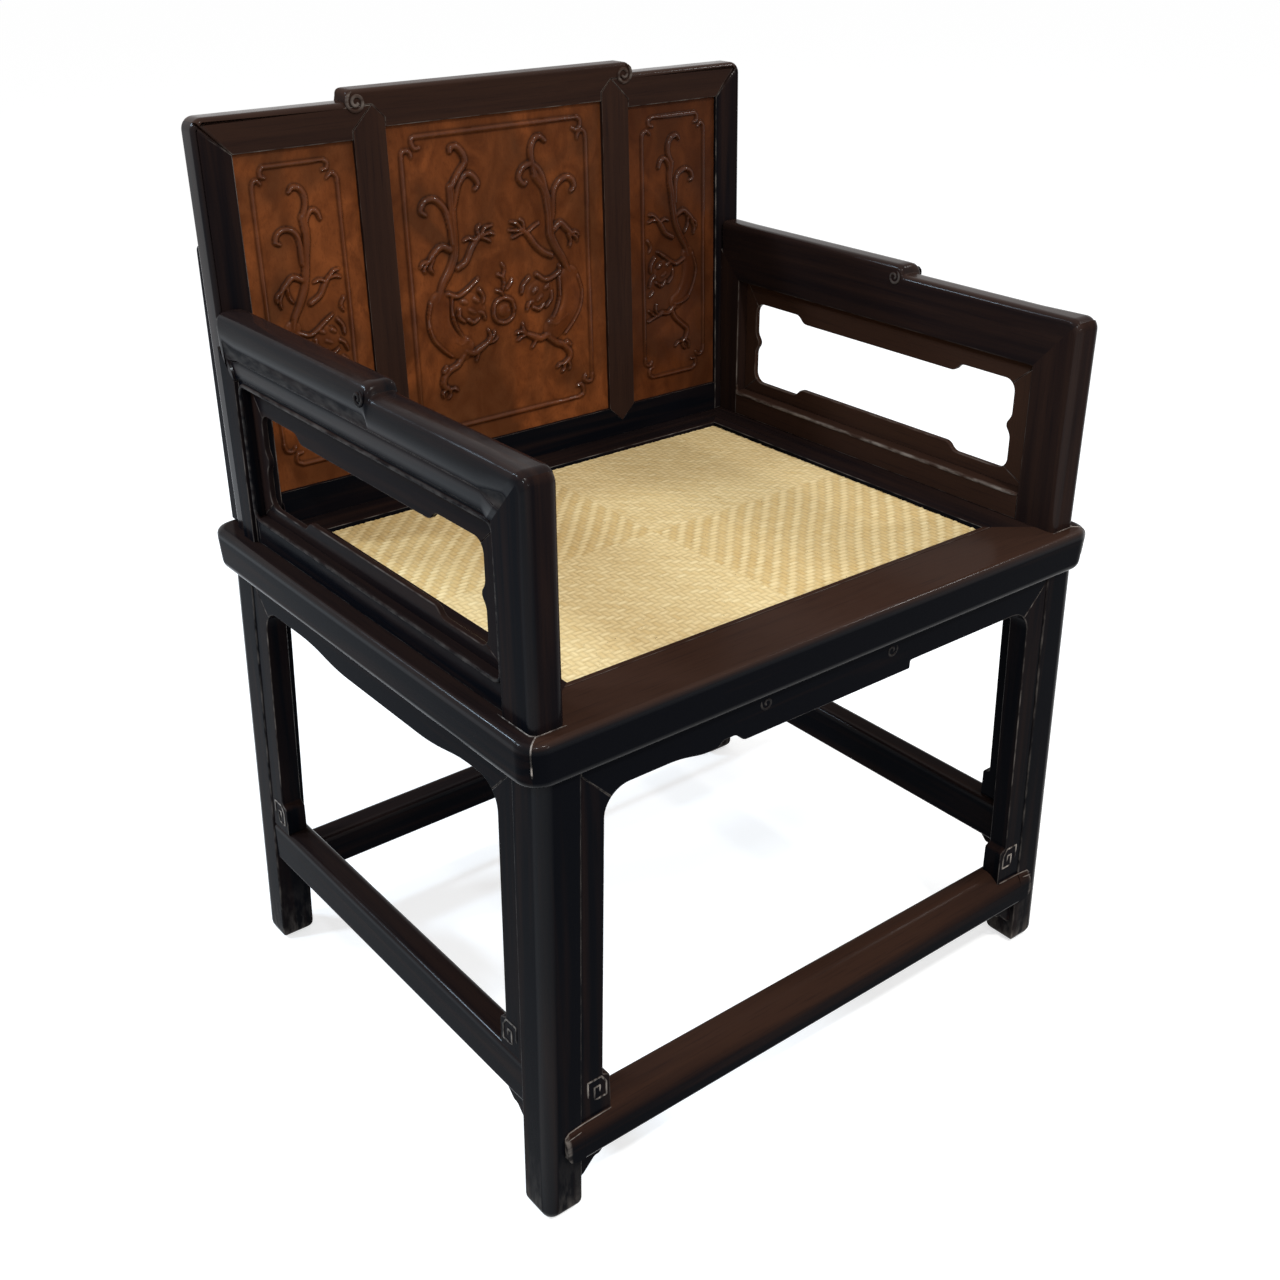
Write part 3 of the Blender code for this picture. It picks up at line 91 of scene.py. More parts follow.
FRONT_DROP_LENGTH, FRONT_DROP_CENTRE = 0.207, -0.0115
SIDE_DROP_LENGTH, SIDE_DROP_CENTRE, SIDE_SLOPE_LENGTH = 0.164, -0.024, 0.050
CUSP_LENGTH, CUSP_DIP = 0.022, 0.0055
BLOCK_HEIGHT, BLOCK_REACH = 0.031, 0.009
BLOCK_NECK, FRONT_BLOCK_SINK = 0.003, 0.010
FRONT_STRETCHER_TOP, FRONT_STRETCHER_HEIGHT, FRONT_STRETCHER_DEPTH = 0.106, 0.045, 0.034
FRONT_STRETCHER_LAP, FRONT_LAP_LENGTH, FRONT_STRETCHER_BROW = 0.0055, 0.019, 0.024
SIDE_STRETCHER_TOP, SIDE_STRETCHER_HEIGHT, SIDE_STRETCHER_THICKNESS = 0.161, 0.046, 0.029
BACK_STRETCHER_TOP, BACK_STRETCHER_HEIGHT, BACK_STRETCHER_THICKNESS = 0.109, 0.040, 0.030
STRETCHER_SETBACK = 0.001
STRETCHER_TOP_CUT, STRETCHER_FOOT_CUT, STRETCHER_SEAT = 0.007, 0.003, 0.001
BEAK_PROUD, BEAK_BROW_DROP, BEAK_FOOT_RISE = 0.0004, 0.006, 0.009
BRACKET_LENGTH, BRACKET_HEIGHT = 0.033, 0.032
BRACKET_THICKNESS, BRACKET_SETBACK, BRACKET_STEP = 0.014, 0.005, 0.005

# Arms
ARM_OUT, ARM_IN = 0.3253, 0.2937
ARM_FRONT, ARM_POST_BACK = -0.2655, -0.2175
ARM_BASE, ARM_TOP = 0.5003, 0.711
ARM_STEP, ARM_STEP_START = 0.010, -0.0435
ARM_CURL_CENTRE, ARM_CURL_RADIUS = (-0.0340, 0.7080), 0.0078
ARM_CORNER_RADIUS = 0.012
ARM_RAIL_FOOT, ARM_FOOT_RAIL_TOP = 0.658, 0.5278
ARM_REBATE, ARM_REBATE_WIDTH, ARM_LEDGE = 0.0045, 0.0065, 0.684
LINING_OUT, LINING_THICKNESS = 0.3128, 0.006
LINING_CORNER_RADIUS = 0.012
LINING_RUN_CUSP, LINING_RUN_START = 0.0085, 0.067
LINING_END_CUSP, LINING_END_START = 0.0055, 0.034
LINING_CUSP_LENGTH = 0.010
LINING_EDGE = 0.0012
HOLE_FRONT, HOLE_REAR, HOLE_FOOT, HOLE_TOP = -0.1897, 0.1851, 0.5416, 0.6342
REAR_POST_FRONT = 0.2024

# Back
BACK_FACE, BACK_THICKNESS, BACK_RAKE = 0.2307, 0.026, 0.0208
BACK_BASE, BACK_SIDE_TOP, BACK_CENTRE_TOP = 0.5003, 0.890, 0.901
STILE_OUT, STILE_IN = 0.3205, 0.2855
INNER_STILE_IN, INNER_STILE_OUT = 0.1285, 0.1628
BOTTOM_RAIL_TOP, SIDE_RAIL_FOOT, CENTRE_RAIL_FOOT = 0.5333, 0.856, 0.865
SPEAR_AT, SPEAR_TIP = 0.141, 0.886
SPEAR_INNER_SHOULDER, SPEAR_OUTER_SHOULDER, SPEAR_FOOT = 0.8735, 0.8642, 0.0165
SCROLL_END = 0.167
SCROLL_CENTRE, SCROLL_RADIUS = (0.1575, 0.8895), 0.0105
BACK_CORNER_RADIUS, BACK_ROUNDING = 0.012, 0.005
PANEL_SETBACK, PANEL_THICKNESS = 0.004, 0.010
BRACE_OUT, BRACE_WIDTH, BRACE_TOP = 0.316, 0.018, 0.775
BRACE_TOP_DEPTH, BRACE_FOOT_DEPTH = 0.014, 0.022
BRACE_ROUNDING, INNER_STILE_ROUNDING = 0.003, 0.0016

# Panels and mat: points of their grids, and a panel's painted shade at its foot and top, most on
# the right
CENTRE_GRID, SIDE_GRID, MAT_GRID = (270, 348), (155, 405), (347, 277)
PANEL_LAP, TALLEST_STROKE = 0.0002, 3.4
STOUT_STROKE, SLENDER_STROKE = 4, 6
CENTRE_SHADING, SIDE_SHADING = (0.05, 0.25), {LEFT: (0.0, 0.1), RIGHT: (0.5, 0.65)}

# Joints, edges and lines; a line is given by its width and height
GAP = 0.0003
SMOOTH_ANGLE = np.radians(42)
WIDE_ROUNDING, ARRIS, SOFT_ARRIS = 0.003, 0.0008, 0.0015
CORNER_STATIONS, MITRE_RUN = 6, 0.012
GROOVE_HALF, GROOVE_DEPTH, GROOVE_CUT = 0.0009, 0.0012, 0.0003
MITRE_START, MITRE_INSET, MITRE_FOOT = 0.016, 0.0016, 0.012
MITRE_HALF, MITRE_PROUD, MITRE_SUNK = 0.0006, 0.00015, -0.0005
RIDGE_SINK, FINE_STEP = 0.0006, 0.002
TENON_LINE, FRET_LINE, POST_LINE = (0.0013, 0.0002), (0.0022, 0.0009), (0.0018, 0.0007)
BEAK_LINE, BROW_LINE, SCROLL_LINE = (0.0013, 0.0009), (0.0013, 0.0006), (0.0038, 0.0018)
APRON_CURL_LINE = (0.0026, 0.0008)
ARM_CURL_LINE, ARM_INNER_CURL_LINE = (0.0030, 0.0013), (0.0030, 0.0010)
BEAD_RISE, INNER_BEAD_RISE, BEAD_CORNER = 0.0022, 0.0012, 0.011

# How pale the lines are: joints, seams, tenon outlines and carved hooks are rubbed pale,
# while the crests of beads and curls and the lines on the beaks are painted highlights
PALE_MITRE, PALE_LINE, PALE_SEAM = 2.4, 2.2, 2.0
PALE_INNER_BEAD, PALE_BEAD, PALE_CURL = 1.2, 0.35, 0.3

# How much redder a member is than the middle tone of the hardwood; the right arm's higher values
# are painted light
PLAIN_WARM, APRON_WARM = -0.12, -0.25
STILE_WARM, INNER_STILE_WARM, BACK_RAIL_WARM, CENTRE_RAIL_WARM = 0.05, 0.55, 0.45, 0.6
ARM_WARM = {
    LEFT: {"rail": -0.12, "front": 0.0, "rear": -0.12, "foot": -0.12, "lining": 0.1},
    # Painted light: the right arm's members, most of all its foot rail and lining, are made redder
    # as if lit warmly.
    RIGHT: {"rail": 0.15, "front": 0.3, "rear": 0.35, "foot": 1.0, "lining": 1.0},
}

# Camera, and lamps by name: place, target, size, power and colour
CAMERA_PLACE = (-0.8709, -1.0903, 1.0919)
CAMERA_HEADING, CAMERA_TILT, CAMERA_ROLL = np.radians(-38.21), np.radians(27.29), -0.0056
CAMERA_LENS, CAMERA_SENSOR = 42.75, 36.0
FLOOR_HALF = 20.0
LAMPS = {
    "key": ((-2.0, 0.9, 2.2), (0, 0, 0.55), (0.24, 0.24), 35.0, (0.72, 0.86, 1.0)),
    "front": ((-0.1, -1.7, 2.7), (0, 0, 0.55), (0.22, 0.22), 36.0, (1.0, 0.97, 0.93)),
    "right": ((2.0, -0.9, 2.4), (0, 0, 0.6), (0.25, 0.25), 15.0, (1.0, 0.99, 0.98)),
    "rear": ((-1.5, 1.7, 2.05), (-0.2, 0, 0.6), (0.4, 0.25), 34.0, (0.62, 0.81, 1.0)),
    "near": ((-1.0, -1.3, 1.8), (0, 0, 0.6), (0.08, 0.08), 7.0, (0.86, 0.94, 1.0)),
    "low": ((0.3, -2.4, 1.3), (0, 0, 0.7), (0.12, 0.12), 7.0, (1.0, 1.0, 1.0)),
}


def colour(code):
    """A screen colour such as 7a4820 as the linear red, green and blue that shaders take."""
    screen = np.array([int(code[i : i + 2], 16) for i in (0, 2, 4)]) / 255
    low, high = screen / 12.92, ((screen + 0.055) / 1.055) ** 2.4
    return tuple(float(v) for v in np.where(screen <= 0.04045, low, high))


def colour_property(name, about, code):
    return bpy.props.FloatVectorProperty(
        name=name, description=about, subtype="COLOR", min=0.0, max=1.0, default=colour(code)
    )


def length_property(name, about, default):
    return bpy.props.FloatProperty(
        name=name, description=about, subtype="DISTANCE", unit="LENGTH", min=0.0, default=default
    )


class ChairColours(bpy.types.PropertyGroup):
    """Colours of the woods and the straw."""

    wood_dark: colour_property("Dark wood", "Darkest streaks of the frame's hardwood", "090a0e")
    wood_red: colour_property("Red wood", "Reddish brown streaks of the frame's hardwood", "302019")
    # Also paints the highlights on the crests of beads and curls and along the beaks' edges.
    wood_worn_and_highlight: colour_property("Worn wood", "Edges and joints rubbed pale by use", "a39a92")
    burl_light: colour_property("Light burl", "Amber ground of the carved panels", "754020")
    burl_dark: colour_property("Dark burl", "Dark swirls in the carved panels", "41200e")
    carving: colour_property("Carving", "Polished raised carving", "3a1a0c")
    straw_light: colour_property("Light straw", "Brightest strands of the mat", "e4d1a2")
    straw_dark: colour_property("Dark straw", "Darkest strands of the mat", "c4a66e")
    plain_wood: colour_property("Plain wood", "Board and brace under the mat", "5a4030")


class ChairSizes(bpy.types.PropertyGroup):
    """Sizes of the worked detail."""

    edge: length_property("Edge rounding", "How far the arrises of flat pieces are rounded", 0.0012)
    bead: length_property("Bead width", "Width of the bead round the arm frames", 0.0042)
    relief: length_property("Carving height", "Height of the tallest carving on the panels", 0.0039)
    strand: length_property("Strand width", "Width of one straw strand of the mat", 0.0056)
    weave: length_property("Weave height", "How far a strand rises over the one it crosses", 0.0009)


# Surfaces: the wear value is above 0 where an edge is rubbed pale and where the crests of beads
# and curls are painted pale as highlights, and below 0 where hands polished it

Shell = namedtuple("Shell", "points quads caps wear")


def outward(shell):
    """The shell with its faces turned outwards, told by the sign of its volume."""
    fans = [np.stack([np.full(len(c) - 2, c[0]), c[1:-1], c[2:]], -1) for c in shell.caps]
    triangles = np.concatenate([shell.quads[:, [0, 1, 2]], shell.quads[:, [0, 2, 3]], *fans])
    a, b, c = shell.points[triangles].transpose(1, 0, 2)
    if np.einsum("ij,ij->", a - shell.points.mean(0), np.cross(b - a, c - a)) > 0:
        return shell
    return Shell(shell.points, shell.quads[:, ::-1], [cap[::-1] for cap in shell.caps], shell.wear)


def loft(rings, wear, closed=False):
    """A skin over a row of rings, (rings, points round, 3), with a flat cap at each end.

    A row that is closed runs back into its first ring and has no caps.
    """
    count, around = rings.shape[:2]
    index = np.arange(count * around).reshape(count, around)
    here, there = (index, np.roll(index, -1, 0)) if closed else (index[:-1], index[1:])
    quads = np.stack([here, np.roll(here, -1, 1), np.roll(there, -1, 1), there], -1).reshape(-1, 4)
    caps = [] if closed else [index[0][::-1], index[-1]]
    wear = np.broadcast_to(wear, (count, around)).reshape(-1)
    return outward(Shell(rings.reshape(-1, 3), quads, caps, wear))


def stack(x, y, z):
    return np.stack(np.broadcast_arrays(x, y, z), -1)


def unit(vectors):
    return vectors / np.maximum(np.linalg.norm(vectors, axis=-1, keepdims=True), 1e-9)


def eased(rows, steps=6):
    """A closed outline whose corners (u, v, cut, extra) swing round in a quadratic curve.

    The curve starts and ends a cut's length from its corner. Returns the points anticlockwise,
    the extra value and the cut of each, and how far it lies round a bend, from 0 to 1.
    """
    rows = np.asarray(rows, float)
    here = rows[:, :2]
    to_last, to_next = np.roll(here, 1, 0) - here, np.roll(here, -1, 0) - here
    last, following = np.linalg.norm(to_last, axis=1), np.linalg.norm(to_next, axis=1)
    cut = np.minimum(rows[:, 2], 0.48 * np.minimum(last, following))[:, None]
    start, end = here + unit(to_last) * cut, here + unit(to_next) * cut
    t = np.linspace(0, 1, steps)[None, :, None]
    curve = (1 - t) ** 2 * start[:, None] + 2 * t * (1 - t) * here[:, None] + t**2 * end[:, None]
    points = curve.reshape(-1, 2)
    extra, cuts = np.repeat(rows[:, 3], steps), np.repeat(cut[:, 0], steps)
    bend = np.tile(np.sin(np.pi * t[0, :, 0]), len(rows))
    found = np.column_stack([points, extra, cuts, bend])
    found = found[np.linalg.norm(points - np.roll(points, 1, 0), axis=1) > 2e-5]
    x, y = found[:, 0], found[:, 1]
    if np.sum(x * np.roll(y, -1) - np.roll(x, -1) * y) < 0:
        found = found[::-1]
    return found[:, :2], *found[:, 2:].T


def inward(outline):
    """At each point of an anticlockwise outline, the step that moves both its edges in by one."""
    before = unit(outline - np.roll(outline, 1, 0))
    after = np.roll(before, -1, 0)
    first = np.stack([-before[:, 1], before[:, 0]], -1)
    second = np.stack([-after[:, 1], after[:, 0]], -1)
    both = first + second
    return both / np.maximum(np.sum(both * first, axis=1, keepdims=True), 0.5)


def rounded(rows, edge):
    """Outline rows (u, v, cut) with the same edge rounding added to each."""
    return [(*row, edge) for row in rows]


def plate(rows, thickness, place, worn=0.8, shine=0.0):
    """A flat piece cut to an outline of rows (u, v, cut, edge rounding), its edges rounded.

    A quarter circle is carried round the outline at each face: at angle a it lies
    edge (1 - sin a) inside the outline and edge (1 - cos a) under the face. Wide roundings are
    polished, and so is the rim between them where a shine is given.
    """
    outline, edge, cut, _ = eased(rows)
    edge = np.where(cut > 0, np.minimum(edge, 0.6 * cut), edge)
    angles = np.radians(np.linspace(0, 90, 5))
    there_and_back = np.concatenate([angles, angles[::-1]])[:, None]
    inset = (1 - np.sin(there_and_back)) * edge
    sink = (1 - np.cos(angles))[:, None] * edge
    depth = np.concatenate([sink, thickness - sink[::-1]])
    flat = outline + inward(outline) * inset[..., None]
    bend = np.sin(2 * there_and_back)
    rim = shine * np.sin(there_and_back)
    wear = np.where(edge < WIDE_ROUNDING, bend * worn, -np.maximum(bend, rim))
    return loft(place(flat[..., 0], flat[..., 1], depth), wear)


def band(outer, inner, width, rows, place, worn=0.8, shine=None, ends=None, share=0.0):
    """A moulded member between two edge lines that hold matching stations.

    The section rows are (distance in from the outer line, depth, cut); a point in the first half
    of the width keeps its distance from the outer line, and any other from the inner line. At
    each station a share of the depth may come from a second list of depths, such as a post's.
    The large roundings are polished at their middles, or evenly where a shine is given.
    """
    outer, inner = np.asarray(outer, float), np.asarray(inner, float)
    section, _, cut, bend = eased(rounded(rows, 0))
    distance, depth = section.T
    if ends is not None:
        other = eased([(u, v, cut_here, 0) for (u, _, cut_here), v in zip(rows, ends)])[0]
        depth = depth + np.asarray(share)[:, None] * (other[:, 1] - depth)
    reach = unit(inner - outer)[:, None]
    near = outer[:, None] + reach * distance[None, :, None]
    far = inner[:, None] - reach * (width - distance)[None, :, None]
    flat = np.where((distance < width / 2)[None, :, None], near, far)
    wear = np.where(cut < WIDE_ROUNDING, bend * worn, -bend if shine is None else -shine)
    return loft(place(flat[..., 0], flat[..., 1], np.atleast_2d(depth)), wear)


def half_round(width, height):
    """Half an ellipse closed a little under its base: offsets, rises, and 1 at its crest."""
    angles = np.radians(np.linspace(0, 180, 9))
    offset = np.concatenate([np.cos(angles), [-1, 1]]) * width / 2
    rise = np.concatenate([np.sin(angles) * height, [-RIDGE_SINK, -RIDGE_SINK]])
    return offset, rise, np.concatenate([np.sin(angles), [0, 0]])


def ridge(path, size, place, worn=0.6):
    """A half-round ridge along a flat path (u, v), width and height given, small at its ends."""
    path = np.asarray(path, float)
    along = unit(np.gradient(path, axis=0))
    across = np.stack([-along[:, 1], along[:, 0]], -1)
    offset, rise, crest = half_round(*size)
    count = np.arange(len(path))
    taper = np.minimum(1, np.minimum(count, count[::-1]) * 0.35 + 0.3)[:, None]
    flat = path[:, None] + across[:, None] * (offset * taper)[..., None]
    lift = np.where(rise > 0, rise * taper, rise)
    return loft(place(flat[..., 0], flat[..., 1], lift), crest * worn)


def curl(centre, radius, turns, start, way, inner=0.15, count=36):
    """A spiral path about a centre, from its outer radius in to a share of it."""
    t = np.linspace(0, 1, count)
    angle = np.radians(start) + way * 2 * np.pi * turns * t
    r = radius * (1 - (1 - inner) * t)
    return np.stack([centre[0] + r * np.cos(angle), centre[1] + r * np.sin(angle)], -1)


def straight(*corners, step=0.004):
    """A path through the corners, with points no further apart than the step."""
    corners = np.asarray(corners, float)
    runs = []
    for first, last in zip(corners, corners[1:]):
        count = max(2, int(np.ceil(np.linalg.norm(last - first) / step)) + 1)
        runs.append(np.linspace(first, last, count)[:-1])
    return np.concatenate(runs + [corners[-1:]])


def arc(centre, radius, start, end, count=7):
    angles = np.radians(np.linspace(start, end, count))
    return np.stack([centre[0] + radius * np.cos(angles), centre[1] + radius * np.sin(angles)], -1)


GRAIN_ORDER = {"x": [0, 1, 2], "y": [1, 0, 2], "z": [2, 0, 1]}
GRAIN_SHIFT = np.array([0.37, 0.61, 0.83])
pieces_made = []


def add_attribute(mesh, name, values):
    """Stores one number or one vector at each point of a mesh."""
    kind, field = ("FLOAT", "value") if values.ndim == 1 else ("FLOAT_VECTOR", "vector")
    layer = mesh.attributes.new(name, kind, "POINT")
    layer.data.foreach_set(field, values.astype(np.float32).ravel())


def add_piece(
    node, finish, shells, material, along, warm=PLAIN_WARM, values=None
):
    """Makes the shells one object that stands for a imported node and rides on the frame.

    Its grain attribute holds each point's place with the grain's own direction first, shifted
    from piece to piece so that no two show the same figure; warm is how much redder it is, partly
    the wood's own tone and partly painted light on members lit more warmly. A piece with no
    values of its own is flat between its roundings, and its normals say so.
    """
    name = f"{node}_{finish}"
    starts = np.cumsum([0] + [len(s.points) for s in shells])
    points = np.concatenate([s.points for s in shells])
    faces = []
    for first, shell in zip(starts, shells):
        faces += (shell.quads + first).tolist() + [(cap + first).tolist() for cap in shell.caps]
    mesh = bpy.data.meshes.new(name)
    mesh.from_pydata(points.tolist(), [], faces)
    mesh.shade_smooth()
    mesh.set_sharp_from_angle(angle=SMOOTH_ANGLE)
    shift = GRAIN_SHIFT * (len(pieces_made) + 1)
    add_attribute(mesh, "grain", points[:, GRAIN_ORDER[along]] + shift)
    add_attribute(mesh, "wear", np.concatenate([s.wear for s in shells]))
    add_attribute(mesh, "warm", np.broadcast_to(warm, len(points)))
    for key, value in (values or {}).items():
        add_attribute(mesh, key, value)
    mesh.materials.append(material)
    made = bpy.data.objects.new(name, mesh)
    bpy.context.scene.collection.objects.link(made)
    if values is None:
        weighted = made.modifiers.new("even_faces", "WEIGHTED_NORMAL")
        weighted.keep_sharp = True
    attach(made, "root")
    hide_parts(node)
    pieces_made.append(name)
    return made


# Materials


def connect(tree, node, sockets):
    """Links sockets of a node, by name or number, to values in the tree, or sets them."""
    for key, value in sockets.items():
        socket = node.inputs[key]
        if isinstance(value, bpy.types.NodeSocket):
            tree.links.new(value, socket)
        else:
            socket.default_value = (*value, 1.0) if socket.type == "RGBA" else value


def add_node(tree, kind, sockets=(), output=0, **settings):
    """Adds a node with its settings and links, and returns one of its outputs."""
    made = tree.nodes.new(f"ShaderNode{kind}")
    for key, value in settings.items():
        setattr(made, key, value)
    connect(tree, made, sockets if isinstance(sockets, dict) else dict(enumerate(sockets)))
    return made.outputs[output]


def new_material(name):
    made = bpy.data.materials.new(name)
    made.use_nodes = True
    return made, made.node_tree, made.node_tree.nodes["Principled BSDF"]


def stretched_noise(tree, vector, scale, detail=4.0, distortion=0.0):
    """Noise over a vector scaled by its own count per metre along each axis."""
    mapped = add_node(tree, "Mapping", {"Vector": vector, "Scale": scale})
    sockets = {"Vector": mapped, "Scale": 1.0, "Detail": detail, "Distortion": distortion}
    return add_node(tree, "TexNoise", sockets)


def laid_over(tree, below, value, low, high, most, tint):
    """A colour over the one below: none of it where a value is low, its most where it is high."""
    share = add_node(tree, "MapRange", (value, low, high, 0.0, most))
    return add_node(tree, "Mix", {0: share, 6: below, 7: tint}, 2, data_type="RGBA")


def dark_hardwood(colours):
    """Dense dark hardwood, oiled and waxed over long use.

    Streaks some 12 mm wide run with the grain from near black to a reddish brown, with fine pores
    of about 1 mm; arrises and joints are rubbed paler, and the large roundings are polished by
    hands. The crests of beads and curls and the beaks' edges are painted pale as highlights, and
    faces that look up are made redder, partly for wear and partly as painted light from above.
    """
    if "waxed_dark_hardwood" in bpy.data.materials:
        return bpy.data.materials["waxed_dark_hardwood"]
    made, tree, shader = new_material("waxed_dark_hardwood")
    dark, red, worn = colours.wood_dark, colours.wood_red, colours.wood_worn_and_highlight
    grain = add_node(tree, "Attribute", output="Vector", attribute_name="grain")
    wear = add_node(tree, "Attribute", output="Fac", attribute_name="wear")
    warm = add_node(tree, "Attribute", output="Fac", attribute_name="warm")
    streak = stretched_noise(tree, grain, (3.0, 75.0, 75.0), 5.0, 0.4)
    fibre = stretched_noise(tree, grain, (18.0, 700.0, 700.0), 3.0)
    patch = stretched_noise(tree, grain, (55.0, 160.0, 160.0), 3.0)
    facing = add_node(tree, "NewGeometry", output="Normal")
    upward = add_node(tree, "SeparateXYZ", (facing,), "Z")
    # Faces that look up are made redder: partly wear on the tops, partly painted light and painted
    # reflection from above.
    worn_and_lit_top = add_node(tree, "MapRange", (upward, 0.1, 0.9, 0.0, 0.3))
    streaked = add_node(tree, "MapRange", (streak, 0.35, 0.68, 0.0, 0.34))
    redder = add_node(tree, "Math", (streaked, add_node(tree, "Math", (worn_and_lit_top, warm))))
    tone = add_node(tree, "Mix", {0: redder, 6: dark, 7: red}, 2, data_type="RGBA")
    pored = laid_over(tree, tone, fibre, 0.55, 0.8, 0.5, dark)
    patchy = add_node(tree, "MapRange", (patch, 0.4, 0.7, 0.03, 0.42))
    # Rubbed edges and joints, and painted highlights on the crests of beads and curls and on the
    # beaks, take the worn colour.
    rubbed = add_node(tree, "Math", (wear, patchy), operation="MULTIPLY")
    sockets = {
        "Base Color": add_node(tree, "Mix", {0: rubbed, 6: pored, 7: worn}, 2, data_type="RGBA"),
        "Roughness": add_node(tree, "MapRange", (patch, 0.3, 0.7, 0.13, 0.23)),
        "Normal": add_node(tree, "Bump", {"Strength": 0.06, "Distance": 0.0003, "Height": fibre}),
        "Specular IOR Level": add_node(tree, "MapRange", (wear, -1.0, 0.0, 0.08, 0.007)),
    }
    connect(tree, shader, sockets)
    return made


def burl(colours):
    """Figured burl, amber to dark brown in swirls of 10 to 30 mm under smoky clouds.

    The relief attribute is 0 on the ground and 1 on the tops of the carving, crest is 1 along its
    narrow ridges, which shine, and shade is painted shade: a panel darkened towards its top, and
    the right panel all over as if in shadow. The hollow value is painted shade, with some dirt,
    in the recesses round the carving.
    """
    made, tree, shader = new_material("carved_burl")
    grain = add_node(tree, "Attribute", output="Vector", attribute_name="grain")
    relief, hollow_shade, crest, shade = (
        add_node(tree, "Attribute", output="Fac", attribute_name=name)
        for name in ("relief", "hollow_shade", "crest", "shade")
    )
    swirl = stretched_noise(tree, grain, (26.0, 34.0, 34.0), 6.0, 1.2)
    speck = stretched_noise(tree, grain, (180.0, 360.0, 360.0), 4.0, 0.6)
    cloud = stretched_noise(tree, grain, (9.0, 12.0, 12.0), 2.0, 0.8)
    base = laid_over(tree, colours.burl_light, cloud, 0.40, 0.62, 0.8, colour("432817"))
    base = laid_over(tree, base, swirl, 0.32, 0.72, 0.8, colours.burl_dark)
    base = laid_over(tree, base, speck, 0.5, 0.8, 0.45, colours.burl_dark)
    base = laid_over(tree, base, relief, 0.1, 0.9, 0.4, colours.carving)
    # Painted shade: darker towards the top of each panel, and the right panel all over as if in
    # shadow.
    painted_shade_mix = {0: shade, 6: base, 7: colour("2a130a")}
    base = add_node(tree, "Mix", painted_shade_mix, 2, data_type="RGBA")
    sockets = {
        # Painted shade, with some dirt, in the recesses round the carving.
        "Base Color": laid_over(tree, base, hollow_shade, 0.0, 1.0, 0.85, colour("150804")),
        "Roughness": add_node(tree, "MapRange", (crest, 0.0, 1.0, 0.30, 0.10)),
        "Specular IOR Level": add_node(tree, "MapRange", (crest, 0.0, 1.0, 0.025, 0.26)),
        "Normal": add_node(tree, "Bump", {"Strength": 0.15, "Distance": 0.0003, "Height": speck}),
    }
    connect(tree, shader, sockets)
    return made


def woven_straw(colours):
    """Dried straw strands, pale gold, each a little lighter or darker, with fine long fibres.

    The strand attribute is one number per strand: a random tone, with painted shade that makes
    the strands along Y darker, most in the two ribbed quarters. The fibre attribute holds the
    place along and across the strand that shows.
    """
    made, tree, shader = new_material("woven_straw")
    light, dark = colours.straw_light, colours.straw_dark
    along = add_node(tree, "Attribute", output="Vector", attribute_name="fibre")
    strand = add_node(tree, "Attribute", output="Fac", attribute_name="strand")
    hollow_shade = add_node(tree, "Attribute", output="Fac", attribute_name="hollow_shade")
    fibre = stretched_noise(tree, along, (45.0, 900.0, 900.0), 3.0)
    patch = stretched_noise(tree, along, (14.0, 14.0, 14.0), 2.0)
    speck = stretched_noise(tree, along, (420.0, 420.0, 420.0), 1.0)
    base = add_node(tree, "Mix", {0: strand, 6: light, 7: dark}, 2, data_type="RGBA")
    base = laid_over(tree, base, fibre, 0.42, 0.72, 0.5, dark)
    base = laid_over(tree, base, patch, 0.4, 0.7, 0.35, dark)
    # Painted shade where a strand dips under another.
    base = laid_over(tree, base, hollow_shade, 0.0, 1.0, 0.55, colour("7d6136"))
    sockets = {
        "Base Color": laid_over(tree, base, speck, 0.72, 0.78, 0.7, colour("5a4326")),
        "Roughness": add_node(tree, "MapRange", (fibre, 0.3, 0.7, 0.5, 0.75)),
        "Normal": add_node(tree, "Bump", {"Strength": 0.35, "Distance": 0.0005, "Height": fibre}),
    }
    connect(tree, shader, sockets)
    shader.inputs["Specular IOR Level"].default_value = 0.25
    return made


def plain_hardwood(colours):
    """Unpolished board wood under the mat, with soft bands about 20 mm apart and a dull surface."""
    made, tree, shader = new_material("plain_board_wood")
    place = add_node(tree, "TexCoord", output="Object")
    bands = stretched_noise(tree, place, (4.0, 50.0, 50.0), 5.0)
    fibre = stretched_noise(tree, place, (25.0, 600.0, 600.0), 3.0)
    dark = tuple(0.55 * v for v in colours.plain_wood)
    base = laid_over(tree, colours.plain_wood, bands, 0.35, 0.65, 1.0, dark)
    sockets = {
        "Base Color": laid_over(tree, base, fibre, 0.5, 0.75, 0.5, dark),
        "Roughness": add_node(tree, "MapRange", (bands, 0.3, 0.7, 0.6, 0.8)),
        "Normal": add_node(tree, "Bump", {"Strength": 0.3, "Distance": 0.0005, "Height": fibre}),
    }
    connect(tree, shader, sockets)
    return made


# Places of the legs, which splay outwards towards the floor


def leg_share(z):
    return (LEG_TOP - z) / LEG_TOP


def leg_size(z):
    return LEG_TOP_SIZE + (LEG_FOOT_SIZE - LEG_TOP_SIZE) * leg_share(z)


def leg_out_x(z):
    return SEAT_HALF - LEG_SIDE_INSET + LEG_SIDE_SPLAY * leg_share(z)


def leg_out_y(end, z):
    if end == FRONT:
        return SEAT_FRONT + LEG_FRONT_INSET - LEG_FRONT_SPLAY * leg_share(z)
    return SEAT_BACK - LEG_BACK_INSET + LEG_BACK_SPLAY * leg_share(z)


def leg_in_x(z):
    return leg_out_x(z) - leg_size(z)


